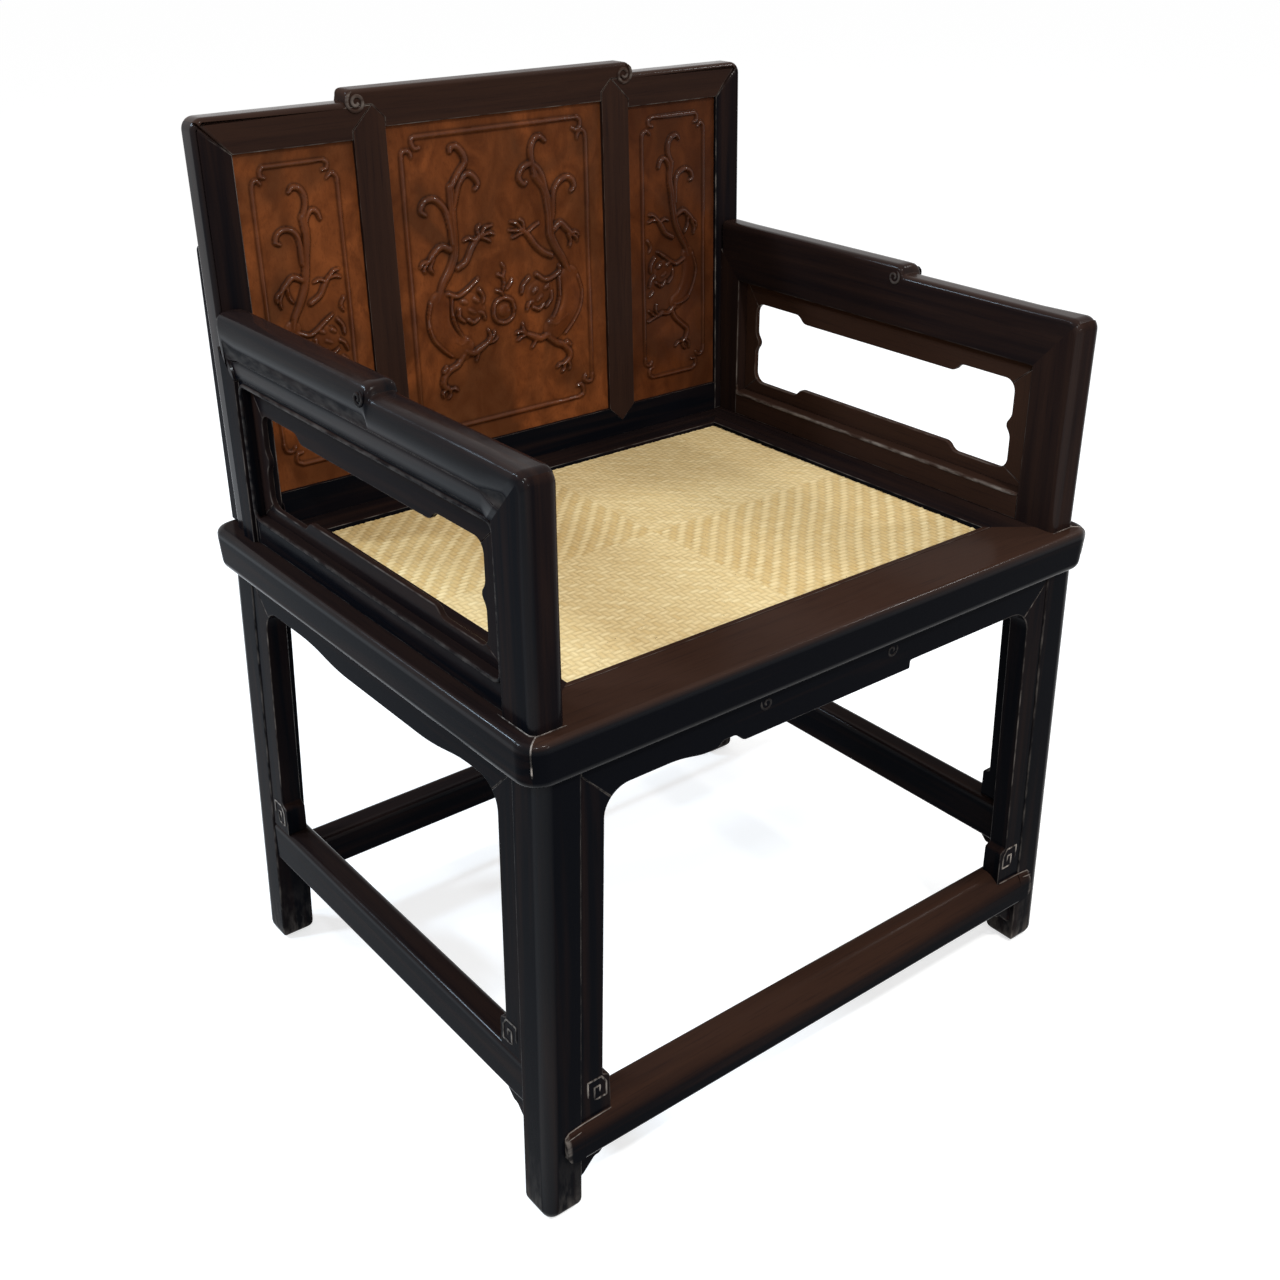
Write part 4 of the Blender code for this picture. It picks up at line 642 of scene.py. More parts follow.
def leg_in_y(end, z):
    return leg_out_y(end, z) - end * leg_size(z)


def left_edge(z):
    return -leg_in_x(z)


def front_edge(z):
    return leg_in_y(FRONT, z)


def back_edge(z):
    return leg_in_y(BACK, z)


def end_face(end, setback=STRIP_SETBACK):
    """Places (x, z, depth) on the leaning plane between the two front or two back legs."""
    return lambda u, v, depth: stack(u, leg_out_y(end, v) - end * (setback + depth), v)


def side_face(side, setback=STRIP_SETBACK):
    """Places (y, z, depth) on the leaning plane between the two left or two right legs."""
    return lambda u, v, depth: stack(side * (leg_out_x(v) - setback - depth), u, v)


def front_plane(near, side=RIGHT):
    """Places (x, z, depth) on an upright plane across the chair, depth measured to the rear."""
    return lambda u, v, depth: stack(side * u, near + depth, v)


def arm_face(side, plane=ARM_OUT):
    """Places (y, z, depth) in an arm frame, depth measured inwards from its outer plane."""
    return lambda u, v, depth: stack(side * (plane - depth), u, v)


def back_face(side=RIGHT, plane=BACK_FACE):
    """Places (x, z, depth) in the leaning back, depth measured to the rear."""
    return lambda u, v, depth: stack(side * u, plane + depth + BACK_RAKE * (v - SEAT_TOP), v)


def outwards(place):
    """The same places with the depth measured the other way, out of the surface."""
    return lambda u, v, depth: place(u, v, -depth)


def make_leg(side, end, material):
    """A leg: a square with one well rounded corner, carried down the splay, drawn in at the toe."""
    size, fine = LEG_TOP_SIZE, LEG_EDGE_RADIUS
    rows = [(0, 0, LEG_OUTER_CUT, -1.0), (size, 0, fine, 0.5)]
    rows += [(size, size, fine, 0.2), (0, size, fine, 0.5)]
    outline, weight, _, bend = eased(rows, 8)
    turn = np.radians(np.linspace(0, 90, 6))
    toe, shaft = TOE_HEIGHT * (1 - np.cos(turn)), np.linspace(TOE_END, LEG_TOP, 10)
    z = np.concatenate([toe, shaft])[:, None]
    draw = np.concatenate([TOE_DRAW * (1 - np.sin(turn)), np.zeros(len(shaft))])[:, None]
    scale = (leg_size(z) - 2 * draw) / size
    x = side * (leg_out_x(z) - draw - outline[:, 0] * scale)
    y = leg_out_y(end, z) - end * (draw + outline[:, 1] * scale)
    shell = loft(stack(x, y, z), bend * weight + 0.5 * np.exp(-z / TOE_RUB))
    add_piece(f"leg_{END_NAMES[end]}_{SIDE_NAMES[side]}", "turned", [shell], material, "z")


def rail_stations(first, last, first_turn, last_turn, start, end, step):
    """Outer and inner lines of a seat rail, each end round half of a corner up to its mitre."""
    r, n = SEAT_CORNER_RADIUS, CORNER_STATIONS
    step = np.linspace(0, 1, n)[:, None] * step
    outer = np.concatenate([arc(first, r, *first_turn, n), arc(last, r, *last_turn, n)])
    return outer, np.concatenate([start + step, end - step[::-1]])


def make_seat_rails(material):
    """Four mitred rails: the moulded edge is carried round half of each rounded corner."""
    x, y = SEAT_HALF - SEAT_CORNER_RADIUS, SEAT_BACK - SEAT_CORNER_RADIUS
    hole, near, far = OPENING_HALF, OPENING_FRONT, OPENING_BACK
    across, along = (MITRE_RUN, 0), (0, MITRE_RUN)
    lines = {
        "front": ((-x, -y), (x, -y), (225, 270), (270, 315), (-hole, near), (hole, near), across),
        "back": ((-x, y), (x, y), (135, 90), (90, 45), (-hole, far), (hole, far), across),
        "left": ((-x, -y), (-x, y), (225, 180), (180, 135), (-hole, near), (-hole, far), along),
        "right": ((x, -y), (x, y), (315, 360), (0, 45), (hole, near), (hole, far), along),
    }
    widths = {"front": near - SEAT_FRONT, "back": SEAT_BACK - far}
    details = {
        "front": [mitre_line(side) for side in (LEFT, RIGHT)],
        "left": [tenon_outline(LEFT, end) for end in (FRONT, BACK)],
        "right": [tenon_outline(RIGHT, end) for end in (FRONT, BACK)],
    }
    for key, stations in lines.items():
        width = widths.get(key, SEAT_HALF - hole)
        rows = [(SEAT_EDGE_TAPER, SEAT_FOOT, SEAT_FOOT_ROUNDING), (0, SEAT_TOP, SEAT_TOP_ROUNDING)]
        if key == "front":
            groove = width - INNER_STRIP_WIDTH
            rows += [(groove - GROOVE_HALF, SEAT_TOP, GROOVE_CUT)]
            rows += [(groove, SEAT_TOP - GROOVE_DEPTH, GROOVE_CUT)]
            rows += [(groove + GROOVE_HALF, SEAT_TOP, GROOVE_CUT)]
        rows += [(width, SEAT_TOP, ARRIS), (width, SEAT_FOOT, ARRIS)]
        shells = [band(*rail_stations(*stations), width, rows, stack)] + details.get(key, [])
        warm = PLAIN_WARM
        if key == "front":
            # Painted light and reflection: the front rail's top rounding is made redder, as it
            # catches light from above and mirrors the amber panels, and its face below a little
            # darker.
            height = np.concatenate([s.points[:, 2] for s in shells])
            top = np.clip((height - SEAT_TOP + SEAT_TOP_ROUNDING) / SEAT_TOP_ROUNDING, 0, 1)
            warm = 0.85 * top**2 - 0.25
        grain = "x" if key in widths else "y"
        add_piece(f"seat_rail_{key}", "moulded", shells, material, grain, warm)


def tenon_outline(side, end):
    """The pale outline of a tenon's end where it shows in the outer edge of a side rail."""
    near, far = end * TENON_NEAR, end * (TENON_NEAR - TENON_WIDTH)
    corners = [(near, TENON_FOOT), (near, TENON_TOP), (far, TENON_TOP), (far, TENON_FOOT)]

    def place(u, v, depth):
        taper = SEAT_EDGE_TAPER * (SEAT_TOP - v) / (SEAT_TOP - SEAT_FOOT)
        return stack(side * (SEAT_HALF - taper + depth), u, v)

    return ridge(straight(*corners, corners[0]), TENON_LINE, place, PALE_LINE)


def mitre_line(side):
    """The pale open joint at a front corner of the seat, from under the post down the rounded edge.

    A flat strip follows the moulded section in the plane of the mitre, a hair proud of the wood.
    """
    cut = SEAT_CORNER_RADIUS * (1 - np.sqrt(0.5))
    corner = np.array([side * (SEAT_HALF - cut), SEAT_FRONT + cut])
    way = unit(np.array([side * OPENING_HALF, OPENING_FRONT]) - corner)
    bend = SEAT_TOP_ROUNDING
    t = np.linspace(0, 1, 9)
    inset = np.concatenate([[MITRE_START], bend * (1 - t) ** 2, [MITRE_INSET]])
    z = np.concatenate([[SEAT_TOP], SEAT_TOP - bend * t**2, [SEAT_FOOT + MITRE_FOOT]])
    slope = unit(np.stack([np.gradient(inset), np.gradient(z)], -1))
    out, rise = slope[:, 1], -slope[:, 0]
    across = np.array([-way[1], way[0]])
    rings = []
    for proud, edge in ((MITRE_PROUD, -1), (MITRE_PROUD, 1), (MITRE_SUNK, 1), (MITRE_SUNK, -1)):
        flat = corner + way * (inset + proud * out)[:, None] + across * edge * MITRE_HALF
        rings.append(stack(flat[:, 0], flat[:, 1], z + proud * rise))
    return loft(np.stack(rings, 1), PALE_MITRE)


def strand_side(i, j, way):
    """Whether the strand along X lies over the one along Y at a crossing of the twill."""
    return np.mod(i + way * j, 4) < 2


def make_mat(sizes, material):
    """A woven mat: each strand is a half round that rises over two strands and dips under two.

    The height is a product of the half round across the strand and a rise along it; the twill
    runs one way in two quarters of the mat and the other way in the other two.
    """
    low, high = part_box("seat_mat")
    x, y = (np.linspace(low[k], high[k], MAT_GRID[k]) for k in (0, 1))
    u, v = np.meshgrid(x, y, indexing="ij")
    ribbed = (u > (low[0] + high[0]) / 2) == (v < (low[1] + high[1]) / 2)
    way = np.where(ribbed, -1, 1)
    wander = 0.0006 * np.sin(u * 31 + v * 17) + 0.0005 * np.sin(u * 13 - v * 47)
    a, b = (u + wander) / sizes.strand, (v - wander) / sizes.strand
    i, j = np.floor(a), np.floor(b)
    over = strand_side(i, j, way)
    across_x, across_y = 2 * (b - j) - 1, 2 * (a - i) - 1
    across = np.where(over, across_x, across_y)
    lengthways = np.where(over, across_y, across_x)
    before = np.where(over, strand_side(i - 1, j, way), ~strand_side(i, j - 1, way))
    after = np.where(over, strand_side(i + 1, j, way), ~strand_side(i, j + 1, way))
    dip = np.where(lengthways < 0, ~before, ~after) * lengthways**2
    bulge = np.sqrt(np.clip(1 - 0.92 * across**2, 0, 1)) * (1 - 0.75 * dip)
    sag = 0.0004 * np.sin(u * 9 + 1) * np.sin(v * 11) - 0.0002
    z = np.minimum(high[2] + sizes.weave * (bulge - 1) + sag, high[2] + 0.0012)
    key = np.where(over, j * 1.37, i * 2.11 + 77) + np.floor((i + j) / 4) * 5.3
    chance = np.mod(np.sin(key * 12.9898) * 43758.5453, 1.0)
    # Painted shade: strands along Y are darker than those along X, most of all in the two ribbed
    # quarters, as if the side light picked them out.
    rib_shade = np.where(ribbed, 0.55, 0.16)
    strand = np.clip(0.15 + 0.3 * chance + rib_shade * ~over, 0, 1)
    fibre = np.where(over[..., None], stack(u, v, 0.0), stack(v, u, 0.5)) + chance[..., None]
    top = stack(u, v, z)
    shell, extra = closed_sheet(top, lambda p: stack(p[..., 0], p[..., 1], low[2]))
    values = {
        "strand": with_rim(strand, extra),
        # Painted shade in the dips where a strand passes under another.
        "hollow_shade": with_rim(np.clip(1 - bulge, 0, 1), extra, 1.0),
        "fibre": with_rim(fibre, extra),
    }
    mat = add_piece(
        "seat_mat", "woven", [shell], material, "x", values=values
    )


def closed_sheet(top, under):
    """A grid of points closed by a skirt and one flat face below, and how many points that adds."""
    columns, rows = top.shape[:2]
    index = np.arange(columns * rows).reshape(columns, rows)
    corners = [index[:-1, :-1], index[1:, :-1], index[1:, 1:], index[:-1, 1:]]
    quads = np.stack(corners, -1).reshape(-1, 4)
    rim = np.concatenate([index[:, 0], index[-1, 1:], index[-2::-1, -1], index[0, -2:0:-1]])
    flat = top.reshape(-1, 3)
    below = columns * rows + np.arange(len(rim))
    skirt = np.stack([rim, below, np.roll(below, -1), np.roll(rim, -1)], -1)
    points = np.concatenate([flat, under(flat[rim])])
    shell = Shell(points, np.concatenate([quads, skirt]), [below[::-1]], np.zeros(len(points)))
    return outward(shell), len(rim)


def with_rim(values, extra, fill=0.0):
    """The values over a sheet's grid, and the same fill for each point that its skirt adds."""
    flat = values.reshape(-1, *values.shape[2:])
    return np.concatenate([flat, np.full((extra, *flat.shape[1:]), fill)])


def inner_corner(edge, way, start, end):
    """Points on the rounded corner between a strip and its apron, from one angle to another."""
    at, r = edge(APRON_BEND) + way * STRIP_WIDTH, APRON_CORNER_RADIUS
    t = np.radians(np.linspace(start, end, 7))
    return np.stack([at + way * r * (1 - np.cos(t)), APRON_BEND + r * np.sin(t)], -1)


def mitre_corner(edge, way):
    """The end of the mitre at the leg, level with the middle of the rounded inner corner."""
    u, v = inner_corner(edge, way, 45, 90)[0]
    rise = abs(u - edge(APRON_FOOT) - way * GAP)
    return (edge(v + rise) + way * GAP, v + rise)


def strip_rows(edge, way, base, sink):
    """Outline of an upright strip: straight at the leg, curved to its mitre, a block at its foot.

    The block reaches below its base by sink, down to a rounded bar.
    """
    foot, top = base + GAP - sink, base + BLOCK_HEIGHT
    neck = top + BLOCK_NECK
    reach = edge(foot) + way * STRIP_WIDTH + way * BLOCK_REACH
    rows = [(edge(foot) + way * GAP, foot, 0.0002), (*mitre_corner(edge, way), 0.0002)]
    rows += [(u, v, 0.0) for u, v in inner_corner(edge, way, 45, 0)]
    rows += [(edge(neck) + way * STRIP_WIDTH, neck, 0.002)]
    return rows + [(reach, top, 0.003), (reach, foot, 0.001)]


def fret_spiral(edge, way, base):
    """Two nested square hooks carved on the block at the foot of a strip."""
    near = edge(base) + way * 0.008
    far = edge(base) + way * (STRIP_WIDTH + BLOCK_REACH - 0.005)
    head = base + BLOCK_HEIGHT
    shift = way * 0.007
    outer = [
        (near, base + 0.016),
        (near, head + 0.002),
        (far - way * 0.005, head + 0.002),
        (far, head - 0.006),
        (far, base + 0.010),
        (near + shift, base + 0.010),
    ]
    inner = [
        (near + shift, base + 0.010),
        (near + shift, head - 0.007),
        (far - shift, head - 0.007),
        (far - shift, base + 0.017),
    ]
    return straight(*outer, step=FINE_STEP), straight(*inner, step=FINE_STEP)


def apron_rows(low_edge, high_edge, low_half, high_half, centre):
    """Outline of an apron: level top, mitred rounded corners and a waved, dropped lower edge."""
    ends = []
    for edge, way in ((low_edge, 1), (high_edge, -1)):
        corners = [(edge(LEG_TOP) + way * GAP, LEG_TOP), mitre_corner(edge, way)]
        corners += list(inner_corner(edge, way, 45, 90))
        ends.append([(u, v, 0.0) for u, v in corners])
    low_wave = [(centre - u, v, cut) for u, v, cut in low_half[::-1]]
    high_wave = [(centre + u, v, cut) for u, v, cut in high_half]
    return ends[0] + low_wave + high_wave + ends[1][::-1]


def cusped_wave():
    """Left half of the front apron's lower edge: the drop's end, a notch, a long shallow cusp."""
    half, drop = FRONT_DROP_LENGTH / 2, APRON_FOOT - APRON_DROP
    return [
        (half - 0.002, drop, 0.006),
        (half + 0.003, drop + APRON_DROP * 0.5, 0.003),
        (half + CUSP_LENGTH * 0.35, APRON_FOOT, 0.003),
        (half + CUSP_LENGTH, APRON_FOOT, 0.002),
        (half + CUSP_LENGTH + CUSP_DIP, APRON_FOOT - CUSP_DIP, 0.005),
        (half + CUSP_LENGTH * 2, APRON_FOOT - CUSP_DIP, 0.010),
        (half + CUSP_LENGTH * 3.2, APRON_FOOT, 0.012),
    ]


def plain_wave():
    """Right half of the front apron's lower edge: the drop ends in a plain step."""
    half = FRONT_DROP_LENGTH / 2
    return [(half, APRON_FOOT - APRON_DROP, 0.002), (half + 0.0005, APRON_FOOT, 0.002)]


def sloped_wave():
    """Half of a side apron's lower edge: a long slope up from the end of the drop."""
    half, drop = SIDE_DROP_LENGTH / 2, APRON_FOOT - APRON_DROP
    return [(half, drop, 0.020), (half + SIDE_SLOPE_LENGTH, APRON_FOOT, 0.020)]


def make_strip(node, edge, way, base, place, sizes, material, sink=0.0):
    """A strip beside a leg, with the hooks carved on its block."""
    rows = rounded(strip_rows(edge, way, base, sink), sizes.edge)
    shells = [plate(rows, STRIP_THICKNESS, place)]
    for path in fret_spiral(edge, way, base):
        shells.append(ridge(path, FRET_LINE, outwards(place), PALE_LINE))
    add_piece(node, "carved", shells, material, "z")


def make_aprons(sizes, material):
    """Aprons and strips that lean with the legs, hooks carved on the blocks and curls in front."""
    place = end_face(FRONT)
    rows = apron_rows(left_edge, leg_in_x, cusped_wave(), plain_wave(), FRONT_DROP_CENTRE)
    shells = [plate(rounded(rows, sizes.edge), STRIP_THICKNESS, place)]
    for side in (LEFT, RIGHT):
        middle = (FRONT_DROP_CENTRE + side * APRON_CURL_AT, APRON_CURL_HEIGHT)
        path = curl(middle, APRON_CURL_RADIUS, 1.3, 90 - side * 60, -side)
        # The curl's crest is painted a little pale: a painted highlight.
        shells.append(ridge(path, APRON_CURL_LINE, outwards(place), PALE_CURL))
    add_piece("apron_front", "carved", shells, material, "x", APRON_WARM)
    for side, edge in ((LEFT, left_edge), (RIGHT, leg_in_x)):
        node, base = f"strip_front_{SIDE_NAMES[side]}", FRONT_STRETCHER_TOP
        make_strip(node, edge, -side, base, place, sizes, material, FRONT_BLOCK_SINK)
    rows = [(-leg_in_x(z) + GAP, z, 0.001) for z in (LEG_TOP, APRON_FOOT)]
    rows += [(leg_in_x(z) - GAP, z, 0.001) for z in (APRON_FOOT, LEG_TOP)]
    shell = plate(rounded(rows, sizes.edge), STRIP_THICKNESS, end_face(BACK))
    add_piece("apron_back", "planed", [shell], material, "x")
    rows = apron_rows(front_edge, back_edge, sloped_wave(), sloped_wave(), SIDE_DROP_CENTRE)
    for side in (LEFT, RIGHT):
        name, place = SIDE_NAMES[side], side_face(side)
        shell = plate(rounded(rows, sizes.edge), STRIP_THICKNESS, place)
        add_piece(f"apron_{name}", "carved", [shell], material, "y")
        for end, edge in ((FRONT, front_edge), (BACK, back_edge)):
            node, base = f"strip_{name}_{END_NAMES[end]}", SIDE_STRETCHER_TOP
            make_strip(node, edge, -end, base, place, sizes, material)


def beak(side, reach, near):
    """The front stretcher's end over a leg: its section, thinned to the lap and drawn in to a tip.

    The section is carried outwards on nine stations; towards the tip its brow is pulled down and
    its underside up along a quarter circle.
    """
    head, brow = FRONT_STRETCHER_TOP, FRONT_STRETCHER_BROW
    foot = head - FRONT_STRETCHER_HEIGHT + BEAK_PROUD
    depth = np.linspace(FRONT_STRETCHER_LAP + BEAK_PROUD, 0.0, 7)
    top = head - brow * (1 - np.sqrt(1 - (1 - depth / brow) ** 2))
    share = np.linspace(0, 1, 9)[:, None]
    draw = 1 - np.sqrt(np.clip(1 - share**2, 0, 1))
    upper = top - BEAK_BROW_DROP * draw
    lower = np.broadcast_to(foot + BEAK_FOOT_RISE * draw, upper.shape)
    x = side * (reach - 0.0006 + FRONT_LAP_LENGTH * share)
    y = near + 0.0001 + np.concatenate([depth, depth[::-1]])
    z = np.concatenate([upper, lower], 1)
    # Painted highlight: one line along the top of each station and the two stations at the tip are
    # painted pale.
    wear = np.zeros_like(z)
    wear[:, 0] = 1.0
    wear[-2:] = 0.9
    return loft(stack(x, y, z), wear)


def beak_lines(side, reach, near):
    """Two pale lines, painted highlights: under the block and over the beak to its tip, and a short
    one on its brow.
    """
    head = FRONT_STRETCHER_TOP
    tip = reach + FRONT_LAP_LENGTH - 0.0012
    over = [
        (reach - 0.033, head - 0.0070),
        (reach, head - 0.0080),
        (tip - 0.004, head - 0.0098),
        (tip, head - 0.0135),
        (tip, head - 0.030),
    ]
    brow = [(tip - 0.001, head - 0.0145), (reach + 0.003, head - 0.0125)]
    place = outwards(front_plane(near + FRONT_STRETCHER_LAP, side))
    proud = outwards(front_plane(near + FRONT_STRETCHER_LAP - 0.0036, side))
    return [
        ridge(straight(*over, step=FINE_STEP), BEAK_LINE, place, PALE_LINE),
        ridge(straight(*brow, step=FINE_STEP), BROW_LINE, proud, PALE_SEAM),
    ]


def level_lines(run, head, height):
    """Stations along a level bar's top and foot."""
    return [(u, head) for u in run], [(u, head - height) for u in run]


def make_front_stretcher(material):
    """The front stretcher: a rounded brow, and beaks at its ends lapped over the legs' fronts."""
    head, height, back = FRONT_STRETCHER_TOP, FRONT_STRETCHER_HEIGHT, FRONT_STRETCHER_DEPTH
    middle = head - height / 2
    near = leg_out_y(FRONT, middle) - FRONT_STRETCHER_LAP
    reach = leg_in_x(middle) + GAP
    t = np.radians(np.linspace(90, 0, 12))
    fall = FRONT_STRETCHER_BROW * (1 - np.cos(t) ** 1.2)
    depth = FRONT_STRETCHER_BROW * (1 - np.sin(t) ** 1.2)
    rows = [(u, v, 0.0) for u, v in zip(fall, depth)]
    rows += [(0, back, 0.005), (height, back, 0.003), (height, 0, 0.0035)]
    lines = level_lines(np.linspace(-reach, reach, 25), head, height)
    shells = [band(*lines, height, rows, front_plane(near))]
    for side in (LEFT, RIGHT):
        shells += [beak(side, reach, near), *beak_lines(side, reach, near)]
    x, _, z = np.concatenate([s.points for s in shells]).T
    # Painted light: the upper slope is made redder as if lit from above and the front face below
    # darker as if in shade; the redder middle of the top is wear.
    upper = np.clip((z - head + 0.031) / 0.014, 0, 1)
    warm = upper * (0.35 + 0.45 * np.exp(-((x / 0.17) ** 2))) - 0.35 * (1 - upper)
    add_piece("stretcher_front", "lapped", shells, material, "x", warm)


def bar_rows(height, thickness):
    """Section of a plain stretcher, well rounded above and lightly below."""
    top, foot = STRETCHER_TOP_CUT, STRETCHER_FOOT_CUT
    return [(0, 0, top), (height, 0, foot), (height, thickness, foot), (0, thickness, top)]


def make_plain_stretchers(material):
    """The back and side stretchers, let a little into the legs."""
    head, height = BACK_STRETCHER_TOP, BACK_STRETCHER_HEIGHT
    middle = head - height / 2
    reach = leg_in_x(middle) + STRETCHER_SEAT
    lines = level_lines((-reach, reach), head, height)
    place = outwards(front_plane(leg_out_y(BACK, middle) - STRETCHER_SETBACK))
    shell = band(*lines, height, bar_rows(height, BACK_STRETCHER_THICKNESS), place)
    add_piece("stretcher_back", "rounded", [shell], material, "x")
    head, height = SIDE_STRETCHER_TOP, SIDE_STRETCHER_HEIGHT
    middle = head - height / 2
    run = (front_edge(middle) - STRETCHER_SEAT, back_edge(middle) + STRETCHER_SEAT)
    lines = level_lines(run, head, height)
    rows = bar_rows(height, SIDE_STRETCHER_THICKNESS)
    for side in (LEFT, RIGHT):
        place = arm_face(side, leg_out_x(head) - STRETCHER_SETBACK)
        shell = band(*lines, height, rows, place)
        add_piece(f"stretcher_{SIDE_NAMES[side]}", "rounded", [shell], material, "y")


def bracket_rows(edge, way, top):
    """Outline of a small bracket under a stretcher: two soft cusps from the rail to the leg."""
    head = top - GAP
    foot = head - BRACKET_HEIGHT
    step, length = BRACKET_STEP, BRACKET_LENGTH
    shape = [(0, head, 0), (length, head, 0), (length, head - step, 0.004)]
    shape += [(length - step, head - 2 * step, 0.003), (length - 2 * step, head - 3 * step, 0.004)]
    shape += [(length - 3 * step, head - 3 * step, 0.003), (step, foot + step / 2, 0.006)]
    return [(edge(v) + way * (GAP + u), v, cut) for u, v, cut in shape + [(0, foot, 0)]]


def make_brackets(sizes, material):
    """Small cusped brackets at the front legs, under the front and the side stretchers."""
    under = FRONT_STRETCHER_TOP - FRONT_STRETCHER_HEIGHT
    near = leg_out_y(FRONT, under) + BRACKET_SETBACK
    rows = rounded(bracket_rows(leg_in_x, -1, under), sizes.edge)
    for side in (LEFT, RIGHT):
        shell = plate(rows, BRACKET_THICKNESS, front_plane(near, side))
        add_piece(f"bracket_front_{SIDE_NAMES[side]}", "cusped", [shell], material, "x")
    under = SIDE_STRETCHER_TOP - SIDE_STRETCHER_HEIGHT
    out = leg_out_x(SIDE_STRETCHER_TOP) - BRACKET_SETBACK
    rows = rounded(bracket_rows(front_edge, 1, under), sizes.edge)
    for side in (LEFT, RIGHT):
        shell = plate(rows, BRACKET_THICKNESS, arm_face(side, out))
        add_piece(f"bracket_side_{SIDE_NAMES[side]}", "cusped", [shell], material, "y")


def back_line(z):
    """The front of the leaning back at a height."""
    return BACK_FACE - GAP + BACK_RAKE * (z - SEAT_TOP)


def arm_rail_stations():
    """Top and bottom lines of an arm's rail from its front mitre, over the step, to the back.

    Returns also where the rail's end meets the rear post's mitre, and the share that the posts'
    plain section has at each station.
    """
    r, n = ARM_CORNER_RADIUS, CORNER_STATIONS
    high, foot, step = ARM_TOP + ARM_STEP, ARM_RAIL_FOOT, ARM_STEP_START
    top = [*arc((ARM_FRONT + r, ARM_TOP - r), r, 135, 90, n), (ARM_POST_BACK + 0.012, ARM_TOP)]
    low = [(ARM_POST_BACK + run, foot) for run in (*np.linspace(0, 0.006, n), 0.012)]
    over = [(-0.012, 0), (-0.004, 0.02), (-0.001, 0.15), (0, 0.45), (0.0015, 0.8)]
    over += [(0.005, 0.97), (0.012, 1)]
    top += [(step + run, ARM_TOP + ARM_STEP * share) for run, share in over]
    low += [(step + run, foot) for run, _ in over]
    bend = foot + (back_line(foot) - REAR_POST_FRONT)
    top += [(REAR_POST_FRONT - 0.004, high), (back_line(high) - 0.002, high)]
    top += [(back_line(high), high - 0.003), (back_line(bend), bend)]
    low += [(REAR_POST_FRONT - 0.004, foot)] + [(REAR_POST_FRONT, foot)] * 3
    share = np.concatenate([np.ones(n), np.zeros(len(over) + 2), [0.3, 1, 1]])
    return top, low, bend, share


def make_arm_rail(side, material):
    """An arm's top rail: a moulded section, stepped, with a scroll at the step on both faces."""
    place = arm_face(side)
    thick, height = ARM_OUT - ARM_IN, ARM_TOP - ARM_RAIL_FOOT
    rebate, lip = ARM_REBATE, height - ARM_REBATE_WIDTH
    ledge = ARM_TOP - ARM_LEDGE
    outer, inner, _, share = arm_rail_stations()
    rows = [(0, thick, 0.007), (0, 0.012, 0.005), (0.0025, 0.0045, 0.004), (0.010, 0.0012, 0.006)]
    rows += [(0.019, 0, 0.006), (ledge, 0.0008, 0.0012), (ledge + 0.0016, 0.0032, 0.0012)]
    rows += [(ledge + 0.010, 0.0030, 0.003), (lip - 0.001, 0.0032, 0.001), (lip, rebate, 0.001)]
    rows += [(height, rebate, ARRIS), (height, thick, SOFT_ARRIS)]
    ends = [thick, 0.008, 0.002, 0.0002, 0, 0, 0, 0, 0, rebate, rebate, thick]
    shells = [band(outer, inner, height, rows, place, 0.2, 0.6, ends, share)]
    # The scrolls' crests on both faces are painted a little pale: a painted highlight.
    path = curl(ARM_CURL_CENTRE, ARM_CURL_RADIUS, 1.4, 120, 1)
    shells.append(ridge(path, ARM_CURL_LINE, outwards(place), PALE_CURL))
    shells.append(ridge(path, ARM_INNER_CURL_LINE, arm_face(side, ARM_IN), PALE_CURL))
    node = f"arm_rail_{SIDE_NAMES[side]}"
    add_piece(node, "moulded", shells, material, "y", ARM_WARM[side]["rail"])


def post_rows(width, cut):
    """Section of an arm post, rebated towards the opening; the cut rounds its outer corners."""
    thick, rebate, lip = ARM_OUT - ARM_IN, ARM_REBATE, width - ARM_REBATE_WIDTH
    rows = [(0, 0, cut), (lip, 0, 0.001), (lip + 0.001, rebate, ARRIS)]
    return rows + [(width, rebate, ARRIS), (width, thick, SOFT_ARRIS), (0, thick, cut)]


